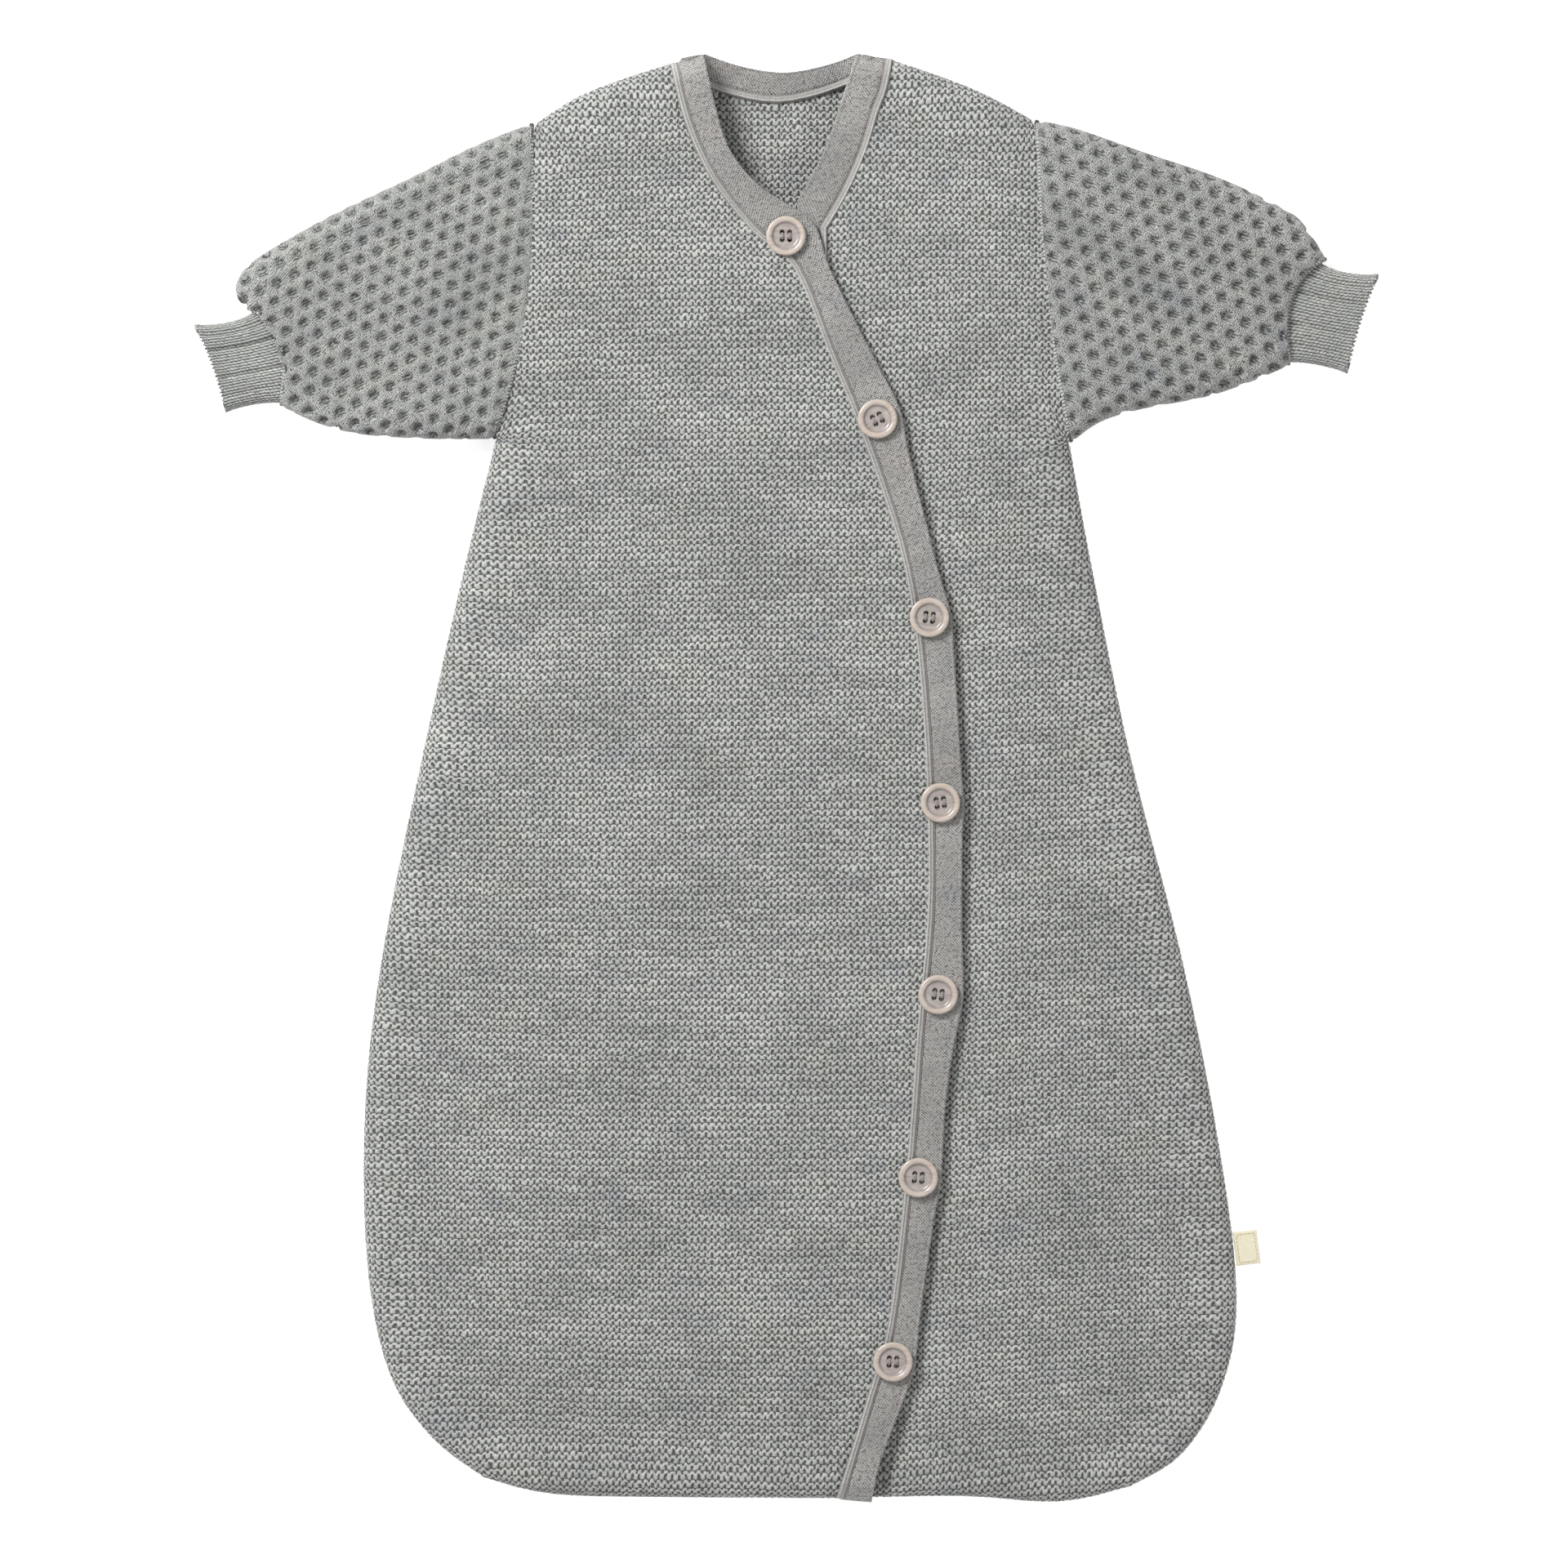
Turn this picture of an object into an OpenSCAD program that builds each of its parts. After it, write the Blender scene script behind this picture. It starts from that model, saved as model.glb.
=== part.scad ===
// Knitted baby sleeping bag with long sleeves and a slanted, buttoned wrap front.
// It lies flat on its back: +X to the viewer's right, +Y to the neck, +Z up through the front.
// The origin is on the resting face, below the middle of the garment. Millimetres.

/* [Cloth] */
// Thickness of the garter-stitch panels
panel_t = 3; // [2:0.5:4]
// Clear height inside the bag as it lies
cavity_h = 12; // [8:1:20]
// Thickness of the fine jersey bands
band_t = 2; // [1.5:0.5:2.5]
// Wall of the honeycomb sleeves
sleeve_wall = 3.5; // [3:0.5:4.5]
// Total height of a sleeve as it lies
sleeve_h = 17; // [14:1:17]
// Wall of the ribbed cuffs
cuff_wall = 2.5; // [2:0.5:3]
// Total height of a cuff as it lies
cuff_h = 12; // [10:1:14]
// Width of a linked seam
seam_w = 3; // [2:0.5:4]

/* [Buttons] */
// Diameter of a button
button_d = 18; // [15:0.5:20]
// Thickness of a button at its rim
button_t = 2.6; // [2:0.2:3]
// Depth of the dish in a button's face
dish_depth = 1.3; // [0.8:0.1:1.4]
// Width of the raised rim round the dish
rim_w = 2.1; // [1.5:0.1:3]
// Distance between neighbouring thread holes
hole_pitch = 3.4; // [3:0.2:4]
// Diameter of a thread hole
hole_d = 2.2; // [1.8:0.1:2.4]
// Diameter of the sewing thread
thread_d = 1.2; // [0.8:0.1:1.4]
// Diameter of the wound shank under a button
shank_d = 2.6; // [2:0.1:2.6]
// Length of a buttonhole
slit_l = 15; // [12:0.5:16]
// Width of a buttonhole, stretched round the shank
slit_w = 3.2; // [3.2:0.1:4]

/* [Label] */
// How far the side label stands out of the seam
label_w = 12.5; // [8:0.5:16]
// Length of the label along the seam
label_l = 15.5; // [10:0.5:20]
// Thickness of the folded label tape
label_t = 1; // [0.6:0.1:1.4]
// Height of the label's middle above the resting face
label_z = 9; // [6:0.5:12]

/* [Hidden] */

// Clearance between pieces that move against each other
gap = 0.3;
// Facets of small rounds
round_fn = 48;
// Straight pieces between two points of a smooth line
steps = 5;

// Heights of the layers
front_low = panel_t + cavity_h;
front_top = front_low + panel_t;
flap_low = front_top + gap;
flap_top = flap_low + panel_t;
band_low = flap_low + gap;
band_top = band_low + band_t;
edging_t = 0.3;
edging_w = 0.7;
button_low = flap_top + gap;
sleeve_low = 0.5;
cuff_low = 0.8;
label_low = label_z - label_t / 2;

// Ends of the fold that the flap opens on, from the left of the neck to the hem
fold_top = [-52, 325];
fold_end = [23.5, -328];

// Side edges, from the underarm to the bottom corner
left_side = [
    [-131.5, 153], [-144.5, 101], [-164.5, 12], [-183, -80], [-191, -150],
    [-190, -222], [-180, -271], [-161, -300], [-137, -318.5]
];
right_side = [
    [129.5, 151], [138.5, 101], [156.5, 12], [180, -80], [197, -165],
    [205.5, -235], [199, -277], [181, -307.5], [157.5, -322.5]
];
// Bottom edge, left to right; the left front ends where the fold meets it
bottom_left = [[-137, -318.5], [-106, -326], [-50, -327.5], fold_end];
bottom_right = [fold_end, [80, -327], [125, -329.5], [157.5, -322.5]];

// Shoulder edges, from the neck to the armhole
left_shoulder = [fold_top, [-75, 317.5], [-95, 309.5], [-112.7, 298]];
right_shoulder = [[46, 327.5], [74, 318], [93, 310], [112.2, 299.5]];

// Armhole lines, from the shoulder to the underarm
left_armhole = [[-115, 297], [-132, 155]];
right_armhole = [[114.5, 298.5], [130, 153.5]];
armhole_seam_w = 2;

// Back of the neck: lower edge of the seam, and the free top edge of the band
back_neck_low = [[-49, 325], [-34, 314.5], [-3, 308], [29, 316], [43, 325.5]];
back_neck_top = [[-36, 329.5], [-18, 324], [0, 321.7], [17, 324.5], [33, 329.5]];

// Buttonhole band: edge at the seam and free edge, from the left of the neck to the hem
hole_band_seam_edge = [
    fold_top, [-45, 297], [-33, 271], [-14, 247], [4, 231], [20, 192], [37, 150], [54.5, 94],
    [62.5, 30], [65, -50], [60, -115], [55, -180], [47, -248], [38, -280], fold_end
];
hole_band_free_edge = [
    [-37, 329], [-30, 299], [-23.5, 282.5], [-12, 269], [0.5, 260], [13, 250.5], [20.5, 231],
    [35.5, 200.5], [49.5, 172], [56, 148], [70.5, 90], [76.5, 58], [80, 0], [80.5, -60],
    [80, -100], [74, -140], [70.5, -178], [63, -234], [56, -275], [43, -312], [39.5, -330]
];
// The free edge swells beside each button
swell = 2;
swell_reach = 13;

// Button band at the V of the neck: inner edge, and edge at its seam
button_band_neck_inner = [[32.5, 329], [27, 312], [21.5, 295], [15.5, 280], [5.5, 262]];
button_band_neck_outer = [[46, 327.5], [43.5, 314], [39.5, 303], [34, 285], [25.5, 266], [16, 250]];

// Left sleeve edges, from the armhole to the cuff
left_sleeve_upper = [
    [-115.3, 297], [-142, 286.5], [-172, 271.5], [-203, 257], [-230, 242], [-246, 231],
    [-250, 222], [-245, 216]
];
left_sleeve_lower = [[-132.3, 155], [-160, 155], [-192, 157], [-212, 162], [-229.5, 170]];
right_sleeve_upper = [
    [114.8, 298.5], [133, 294.5], [163, 284], [193, 274], [215, 264.5], [236, 253],
    [249, 244.5], [245, 235]
];
right_sleeve_lower = [[130.3, 153.5], [143, 162.5], [162, 168.5], [191, 174], [212, 181], [229.5, 188.5]];
// Cuffs: upper and lower edge, from the sleeve to the wrist
cuff_seam_w = 2;
left_cuff_upper = [[-246.6, 213.5], [-268.5, 206]];
left_cuff_lower = [[-231.7, 169.4], [-254.5, 167]];
right_cuff_upper = [[246.9, 233.5], [270, 229]];
right_cuff_lower = [[231.6, 187.4], [256, 184.8]];

// Buttons: centre, turn of the holes, and lean of the buttonhole, in degrees
buttons = [
    [[0.5, 245.5], 0, 40], [[42, 162.5], 27, 18], [[65.5, 72.5], -7, 11], [[70.5, -11.5], 8, 2],
    [[69.5, -98.5], -7, -4], [[60.5, -181.5], -5, -8], [[49, -265], -3, -15]
];

// Side label: inner end of its lower edge, and its turn
label_corner = [205.8, -222.5];
label_turn = 7;

function spline_point(a, b, c, d, t) =
    (2 * b + (c - a) * t + (2 * a - 5 * b + 4 * c - d) * t * t + (3 * b - a - 3 * c + d) * t * t * t) / 2;

// Smooth line through the points p
function smooth(p) = let (n = len(p) - 1) [
    for (i = [0 : n - 1], k = [0 : steps - 1])
        spline_point(p[max(i - 1, 0)], p[i], p[i + 1], p[min(i + 2, n)], k / steps),
    p[n]
];

function reverse(c) = [for (i = [len(c) - 1 : -1 : 0]) c[i]];

function heading(c, i) =
    let (v = c[min(i + 1, len(c) - 1)] - c[max(i - 1, 0)])
    v / norm(v);

// The line c moved sideways by d, to the left of its own direction
function beside(c, d) = [
    for (i = [0 : len(c) - 1])
        let (h = heading(c, i))
        c[i] + d * [-h.y, h.x]
];

// The line c made longer by e at both ends
function stretched(c, e) =
    let (last = len(c) - 1)
    concat([c[0] - e * heading(c, 0)], c, [c[last] + e * heading(c, last)]);

function swell_at(p, i = 0) =
    i == len(buttons) ? 0
    : let (away = norm(p - buttons[i][0]) / swell_reach)
      swell * exp(-away * away) + swell_at(p, i + 1);

function swollen(c) = [
    for (i = [0 : len(c) - 1])
        let (h = heading(c, i))
        c[i] + swell_at(c[i]) * [-h.y, h.x]
];

// The part of the smooth line c from its point number i onwards
function from_point(c, i) = [for (k = [i * steps : len(c) - 1]) c[k]];

// The points of the line c from number i to number j
function slice(c, i, j) = [for (k = [i : j]) c[k]];

// The line c without its first point, to follow a line that ends there
function after_first(c) = slice(c, 1, len(c) - 1);

seam_edge = smooth(hole_band_seam_edge);
free_edge = swollen(smooth(hole_band_free_edge));
// First points of the overlap, below the V of the neck
overlap_start_seam = 4;
overlap_start_free = 6;
under_seam_side = beside(from_point(seam_edge, overlap_start_seam), 2);
under_free_side = beside(from_point(free_edge, overlap_start_free), -5);
button_band_inner = concat(smooth(button_band_neck_inner), under_seam_side);
button_band_outer = concat(smooth(button_band_neck_outer), under_free_side);

// The edge of the bag in one line, from the left underarm round the bottom to the right underarm
left_edge = smooth(left_side);
bottom_edge = concat(smooth(bottom_left), after_first(smooth(bottom_right)));
whole_edge = concat(left_edge, after_first(bottom_edge), after_first(reverse(smooth(right_side))));
inner_edge = beside(whole_edge, panel_t);
left_corner = len(left_edge) - 1;
right_corner = left_corner + len(bottom_edge) - 1;

module plate(outline, low, high)
    translate([0, 0, low])
        linear_extrude(high - low)
            polygon(outline);

// A strip along the line c, between two distances to its side
module strip(c, from, to, low, high)
    plate(concat(beside(c, from), reverse(beside(c, to))), low, high);

// A wall of turned cloth along the bag's edge, from point number i to number j
module edge_wall(i, j)
    plate(concat(slice(whole_edge, i, j), reverse(slice(inner_edge, i, j))), panel_t, front_low);

// A flattened tube between two edges; way is 1 for the left arm and -1 for the right
module tube(upper, lower, wall, way, low, high)
    difference() {
        plate(concat(upper, reverse(lower)), low, high);
        plate(
            concat(
                stretched(beside(upper, way * wall), 2 * wall),
                reverse(stretched(beside(lower, -way * wall), 2 * wall))
            ),
            low + wall, high - wall
        );
    }

// Seam round an armhole: a flat ring, open between its two ends
module armhole_ring(line, way)
    difference() {
        strip(line, way * gap, way * (gap + armhole_seam_w), 0, front_top);
        strip(
            stretched(line, -panel_t),
            0, way * (gap + armhole_seam_w + 1),
            panel_t, front_low
        );
    }

// Ends of the panels at the armholes
left_armhole_edge = beside(left_armhole, gap + armhole_seam_w);
right_armhole_edge = beside(right_armhole, -gap - armhole_seam_w);

module back_panel()
    color("#a4a8a3")
        plate(
            concat(
                reverse(smooth(left_shoulder)),
                smooth(back_neck_low),
                smooth(right_shoulder),
                right_armhole_edge,
                reverse(whole_edge),
                reverse(left_armhole_edge)
            ),
            0, panel_t
        );

module left_front_panel()
    color("#a4a8a3")
        plate(
            concat(
                smooth(left_shoulder),
                left_armhole_edge,
                left_edge,
                smooth(bottom_left)
            ),
            front_low, front_top
        );

// The cloth of the flap is cut back where it slips round a button
module left_front_flap()
    color("#a7aba6")
        difference() {
            translate([gap, 0, 0])
                plate(beside(seam_edge, -gap), flap_low, flap_top);
            for (b = buttons)
                translate([b[0].x, b[0].y, flap_low - 1])
                    cylinder(h = panel_t + 2, d = button_d + 2, $fn = round_fn);
        }

// The right front starts at the seam of the button band, at the shoulder and at the hem
right_front_start = beside(button_band_outer, seam_w);
start_last = len(right_front_start) - 1;
module right_front_panel()
    color("#a4a8a3")
        plate(
            concat(
                reverse(right_front_start),
                [for (p = smooth(right_shoulder)) if (p.x > right_front_start[0].x + gap) p],
                right_armhole_edge,
                smooth(right_side),
                [for (p = reverse(smooth(bottom_right))) if (p.x > right_front_start[start_last].x + gap) p]
            ),
            front_low, front_top
        );

module left_side_seam()
    color("#989c97")
        edge_wall(0, left_corner);

module right_side_seam()
    color("#989c97")
        edge_wall(right_corner, len(whole_edge) - 1);

module bottom_seam()
    color("#989c97")
        edge_wall(left_corner, right_corner);

module left_shoulder_seam()
    color("#989c97")
        strip(smooth(left_shoulder), 0, panel_t, panel_t, front_low);

module right_shoulder_seam()
    color("#989c97")
        strip(smooth(right_shoulder), 0, -panel_t, panel_t, front_low);

module back_neck_band()
    color("#aeaaa6")
        plate(
            concat(beside(smooth(back_neck_low), seam_w), reverse(smooth(back_neck_top))),
            0, band_t
        );

module back_neck_seam()
    color("#c3c2be")
        strip(smooth(back_neck_low), 0, seam_w, 0, panel_t);

module button_band()
    color("#afaaa7")
        plate(concat(button_band_inner, reverse(button_band_outer)), front_low, front_low + band_t);

module button_band_seam()
    color("#c3c2be")
        strip(button_band_outer, 0, seam_w, front_low, front_top);

module slit(b, grow, low, high)
    translate([b[0].x, b[0].y, low])
        rotate(b[2])
            linear_extrude(high - low)
                square([slit_w + 2 * grow, slit_l + 2 * grow], center = true);

module buttonhole_band()
    color("#afaaa7")
        difference() {
            plate(concat(beside(seam_edge, seam_w), reverse(free_edge)), band_low, band_top);
            for (b = buttons)
                slit(b, 0, band_low - 1, band_top + 1);
        }

module buttonhole_band_seam()
    color("#c6c5c1")
        strip(seam_edge, 0, seam_w, flap_low, flap_top);

module buttonhole_edging()
    color("#b9b5b1")
        for (b = buttons)
            difference() {
                slit(b, edging_w, band_top, band_top + edging_t);
                slit(b, 0, band_top - 1, band_top + 1);
            }

module left_armhole_seam()
    color("#9a9e99")
        armhole_ring(left_armhole, 1);

module right_armhole_seam()
    color("#9a9e99")
        armhole_ring(right_armhole, -1);

module left_sleeve()
    color("#9ea29d")
        tube(
            smooth(left_sleeve_upper), smooth(left_sleeve_lower),
            sleeve_wall, 1, sleeve_low, sleeve_low + sleeve_h
        );

module right_sleeve()
    color("#9ea29d")
        tube(
            smooth(right_sleeve_upper), smooth(right_sleeve_lower),
            sleeve_wall, -1, sleeve_low, sleeve_low + sleeve_h
        );

// Seam allowance inside a sleeve, along its lower edge
underarm_low = sleeve_low + sleeve_h / 2 - 1;
module underarm_seam(lower, way)
    strip(smooth(lower), -way * sleeve_wall, -way * (sleeve_wall + 2), underarm_low, underarm_low + 2);

module left_underarm_seam()
    color("#989c97")
        underarm_seam(left_sleeve_lower, 1);

module right_underarm_seam()
    color("#989c97")
        underarm_seam(right_sleeve_lower, -1);

// Gathered ring between a sleeve and its cuff, drawn from the two ends of the sleeve
module cuff_ring(top, bottom, way)
    difference() {
        strip([top, bottom], -way * gap, -way * cuff_seam_w, cuff_low, cuff_low + cuff_h + 1);
        strip(
            stretched([top, bottom], -panel_t - 1),
            0, -way * (cuff_seam_w + 1),
            cuff_low + cuff_wall, cuff_low + cuff_h - cuff_wall
        );
    }

module left_cuff_seam()
    color("#989c97")
        cuff_ring(left_sleeve_upper[7], left_sleeve_lower[4], 1);

module right_cuff_seam()
    color("#989c97")
        cuff_ring(right_sleeve_upper[7], right_sleeve_lower[5], -1);

module left_cuff()
    color("#9fa39e")
        tube(left_cuff_upper, left_cuff_lower, cuff_wall, 1, cuff_low, cuff_low + cuff_h);

module right_cuff()
    color("#9fa39e")
        tube(right_cuff_upper, right_cuff_lower, cuff_wall, -1, cuff_low, cuff_low + cuff_h);

// Half section of a button: flat back, round rim, dished face
rim_r = button_t / 2;
dish_r = button_d / 2 - rim_w;
button_section = concat(
    [[0, 0]],
    [for (a = [-90 : 15 : 90]) [button_d / 2 - rim_r + rim_r * cos(a), rim_r + rim_r * sin(a)]],
    [for (k = [0 : 6]) [dish_r * (1 - k / 6), button_t - dish_depth * sin(90 * k / 6)]]
);

module at_button(i)
    translate([buttons[i][0].x, buttons[i][0].y, button_low])
        rotate(buttons[i][1])
            children();

module at_holes()
    for (x = [-1, 1], y = [-1, 1])
        translate([x * hole_pitch / 2, y * hole_pitch / 2, 0])
            children();

module button(i)
    color("#c2b5aa")
        at_button(i)
            difference() {
                rotate_extrude($fn = round_fn)
                    polygon(button_section);
                at_holes()
                    translate([0, 0, -1])
                        cylinder(h = button_t + 2, d = hole_d, $fn = 24);
            }

// Two stitches over a button, with their legs down through the holes
stitch_z = button_t - dish_depth * 0.9 + thread_d / 2;
module thread(i)
    color("#b8b2ae")
        at_button(i) {
            at_holes()
                cylinder(h = stitch_z, d = thread_d, $fn = 16);
            for (x = [-1, 1])
                translate([x * hole_pitch / 2, -hole_pitch / 2, stitch_z])
                    rotate([-90, 0, 0])
                        cylinder(h = hole_pitch, d = thread_d, $fn = 16);
        }

shank_low = front_low + band_t;
module thread_shanks()
    color("#b0aaa6")
        for (b = buttons)
            translate([b[0].x, b[0].y, shank_low])
                cylinder(h = button_low - gap - shank_low, d = shank_d, $fn = round_fn);

module at_label()
    translate([label_corner.x, label_corner.y, label_low])
        rotate(label_turn)
            children();

module side_label()
    color("#ebe4c8")
        at_label()
            cube([label_w - 1.5, label_l, label_t]);

// A plain stitched border instead of a mark
stitch_h = 0.3;
stitch_in = 1.6;
module label_stitching()
    color("#d9cdb0")
        at_label()
            translate([stitch_in, stitch_in, label_t])
                linear_extrude(stitch_h)
                    difference() {
                        square([label_w - 1.5 - 2 * stitch_in, label_l - 2 * stitch_in]);
                        translate([0.6, 0.6])
                            square([label_w - 2.7 - 2 * stitch_in, label_l - 1.2 - 2 * stitch_in]);
                    }

back_panel();
left_front_panel();
left_front_flap();
right_front_panel();
left_side_seam();
right_side_seam();
bottom_seam();
left_shoulder_seam();
right_shoulder_seam();
back_neck_band();
back_neck_seam();
button_band();
button_band_seam();
buttonhole_band();
buttonhole_band_seam();
buttonhole_edging();
left_armhole_seam();
right_armhole_seam();
left_sleeve();
right_sleeve();
left_underarm_seam();
right_underarm_seam();
left_cuff_seam();
right_cuff_seam();
left_cuff();
right_cuff();
button(0);  // button_1
button(1);  // button_2
button(2);  // button_3
button(3);  // button_4
button(4);  // button_5
button(5);  // button_6
button(6);  // button_7
thread(0);  // thread_1
thread(1);  // thread_2
thread(2);  // thread_3
thread(3);  // thread_4
thread(4);  // thread_5
thread(5);  // thread_6
thread(6);  // thread_7
thread_shanks();
side_label();
label_stitching();
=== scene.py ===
"""The looks of the knitted baby sleeping bag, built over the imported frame.

Lengths inside this script are millimetres; meshes are written in metres.
"""

import math

import bpy
import numpy as np
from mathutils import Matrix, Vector


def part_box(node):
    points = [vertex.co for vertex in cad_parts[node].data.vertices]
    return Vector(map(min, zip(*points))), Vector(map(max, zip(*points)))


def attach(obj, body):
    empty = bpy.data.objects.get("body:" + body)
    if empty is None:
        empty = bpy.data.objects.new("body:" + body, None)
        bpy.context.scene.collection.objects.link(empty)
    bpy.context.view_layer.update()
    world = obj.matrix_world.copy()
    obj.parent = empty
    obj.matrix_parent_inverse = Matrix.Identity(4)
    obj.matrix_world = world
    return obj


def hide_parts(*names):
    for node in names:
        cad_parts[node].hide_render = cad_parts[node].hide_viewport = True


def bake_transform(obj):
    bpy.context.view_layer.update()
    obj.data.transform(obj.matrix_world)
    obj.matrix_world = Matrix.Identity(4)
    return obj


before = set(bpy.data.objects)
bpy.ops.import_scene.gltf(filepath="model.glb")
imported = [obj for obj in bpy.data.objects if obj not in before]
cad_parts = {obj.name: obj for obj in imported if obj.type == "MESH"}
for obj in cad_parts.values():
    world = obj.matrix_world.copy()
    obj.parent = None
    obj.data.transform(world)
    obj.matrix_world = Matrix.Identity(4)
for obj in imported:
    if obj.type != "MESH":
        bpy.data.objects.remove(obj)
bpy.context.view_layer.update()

TAU = 2 * math.pi

# Knitting gauge
STITCH = 3.0  # one garter stitch along a ridge
RIDGE = 3.15  # one garter ridge to the next
RIB = 1.75  # one rib of a cuff to the next
JERSEY = 1.3  # one dot of the fine jersey to the next

# Heights above the floor
FLOOR_GAP = 0.15  # the lowest that a sleeve or cuff reaches
BACK_Z = 1.4  # the back cloth, lying on the floor
SEAM_Z = 8.8  # where the front and back cloths meet at the side of the bag
SLEEVE_Z = 9.2  # the middle of a sleeve
CUFF_Z = 7.0  # the middle of a cuff
LABEL_Z = 9.0  # the middle of the label
UNDER_BAND_Z = 16.6
HOLE_BAND_Z = 20.5

# Relief
LOOP = 0.75  # how far a garter loop stands out of the cloth
POCKET = 2.5  # depth of a honeycomb pocket
POCKET_LEVEL = 0.66  # the honeycomb's height where a sleeve keeps its plain shape

# Thickness
BAND_THICK = 1.9
RIDGE_THICK = 1.4
CUFF_THICK = 1.8


# --- Patterns: each works on numpy arrays and on shader sockets alike ---


class Wire:
    """A number in a material's node tree, so that a pattern reads as plain arithmetic."""

    def __init__(self, tree, socket):
        self.tree = tree
        self.socket = socket

    def op(self, kind, *others):
        node = self.tree.nodes.new("ShaderNodeMath")
        node.operation = kind
        fill_slots(self.tree, node, (self, *others))
        return Wire(self.tree, node.outputs[0])

    def __add__(self, other):
        return self.op("ADD", other)

    def __mul__(self, other):
        return self.op("MULTIPLY", other)

    def __sub__(self, other):
        return self.op("SUBTRACT", other)

    def __truediv__(self, other):
        return self.op("DIVIDE", other)

    def __pow__(self, other):
        return self.op("POWER", other)

    def __rsub__(self, other):
        return (self * -1.0) + other

    def __abs__(self):
        return self.op("ABSOLUTE")

    __radd__ = __add__
    __rmul__ = __mul__


def fill_slots(tree, node, values):
    """Set a node's inputs in turn, each from a number or from a Wire."""
    for slot, value in zip(node.inputs, values):
        if isinstance(value, Wire):
            tree.links.new(value.socket, slot)
        else:
            slot.default_value = value


def cos(x):
    return x.op("COSINE") if isinstance(x, Wire) else np.cos(x)


def rounded(x):
    return (x + 0.5).op("FLOOR") if isinstance(x, Wire) else np.floor(x + 0.5)


def highest(a, b):
    return a.op("MAXIMUM", b) if isinstance(a, Wire) else np.maximum(a, b)


def clamp(x):
    if isinstance(x, Wire):
        return x.op("MAXIMUM", 0.0).op("MINIMUM", 1.0)
    return np.clip(x, 0.0, 1.0)


def ease(x, low, high):
    """0 below low, 1 above high, smooth between."""
    t = clamp((x - low) / (high - low))
    return t * t * (3.0 - 2.0 * t)


def dome(x, middle, reach):
    """1 at the middle and 0 from reach away, rounded like a parabola."""
    off = (x - middle) / reach
    return clamp(1.0 - off * off)


def garter(u, v):
    """Garter stitch, 0 to 1: u stitches along and v ridges up.

    Each ridge is a wavy row of loops, with a pit under each loop, a small one between loops and
    a thin gap before the next ridge."""
    turn = cos(TAU * u)
    rise = v - rounded(v)
    off = rise - 0.18 * turn
    loops = 1.0 - off * off * 2.6
    under = clamp((turn - 0.15) / 0.7) * dome(rise, -0.14, 0.3)
    between = clamp((-0.25 - turn) / 0.7) * dome(rise, 0.28, 0.23)
    gap = clamp(1.0 - abs(abs(rise) - 0.5 + 0.05 * turn) / 0.13)
    return loops * (1.0 - under) * (1.0 - 0.85 * between) * (1.0 - 0.3 * gap)


def honeycomb(i, j):
    """Honeycomb stitch, 0 in a pocket and 1 on the lattice, with pockets at whole i and j."""
    wave = cos(TAU * i) + cos(TAU * j) + cos(TAU * (i + j))
    return 1.0 - ease(wave, -0.6, 2.0)


def ribs(across, along):
    """Ribbing, 0 to 1, in ribs across and stitches along, each stitch a small slanting loop."""
    crest = 0.5 + 0.5 * cos(TAU * across)
    stitch = 0.5 + 0.5 * cos(TAU * (along + 0.5 * across))
    return crest ** 0.5 * (0.5 + 0.5 * stitch)


def birdseye(across, along):
    """Fine jersey, 0 to 1: staggered dots."""
    return 0.5 + 0.4 * cos(TAU * across) * cos(TAU * along) + 0.1 * cos(TAU * 2.0 * along)


# --- Lines and outlines ---


def cad_outline(node):
    """The outline of a CAD node's upper face seen from above, as a closed loop of points."""
    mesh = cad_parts[node].data
    points = np.round(np.array([v.co for v in mesh.vertices]) * 1000, 2)
    flat = [p for p in mesh.polygons if p.normal.z > 0.99]
    top = max(points[p.vertices[0], 2] for p in flat)
    edges = {}
    for p in flat:
        if points[p.vertices[0], 2] < top - 0.05:
            continue
        corners = [tuple(points[k, :2]) for k in p.vertices]
        for a, b in zip(corners, corners[1:] + corners[:1]):
            if (b, a) in edges:
                del edges[b, a]
            else:
                edges[a, b] = True
    follow = {a: b for a, b in edges}
    loops = []
    while follow:
        start = next(iter(follow))
        loop = [start]
        while follow.get(loop[-1]) is not None and follow[loop[-1]] != start:
            loop.append(follow.pop(loop[-1]))
        follow.pop(loop[-1], None)
        loops.append(np.array(loop))
    return max(loops, key=lambda loop: np.linalg.norm(np.roll(loop, -1, 0) - loop, axis=1).sum())


def side_lines(node, start):
    """The two long sides of a CAD strip or tube, both running from its end at the point start."""
    loop = cad_outline(node)
    before = loop - np.roll(loop, 1, 0)
    after = np.roll(loop, -1, 0) - loop
    turn = np.abs(before[:, 0] * after[:, 1] - before[:, 1] * after[:, 0])
    turn /= np.linalg.norm(before, axis=1) * np.linalg.norm(after, axis=1)
    corner = np.sort(np.argsort(-turn)[:4])
    parts = []
    for a, b in zip(corner, np.roll(corner, -1)):
        parts.append(loop[np.arange(a, b + 1 if b > a else b + len(loop) + 1) % len(loop)])
    first = min(range(4), key=lambda k: np.linalg.norm((parts[k][0] + parts[k][-1]) / 2 - start))
    return [parts[(first + 1) % 4], parts[first - 1][::-1]]


def lengths(line):
    return np.concatenate([[0], np.cumsum(np.linalg.norm(np.diff(line, axis=0), axis=1))])


def spaced(line, count):
    """The line again, as count points at even distances."""
    at = lengths(line)
    want = np.linspace(0, at[-1], count)
    return np.stack([np.interp(want, at, c) for c in line.T], 1)


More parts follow.
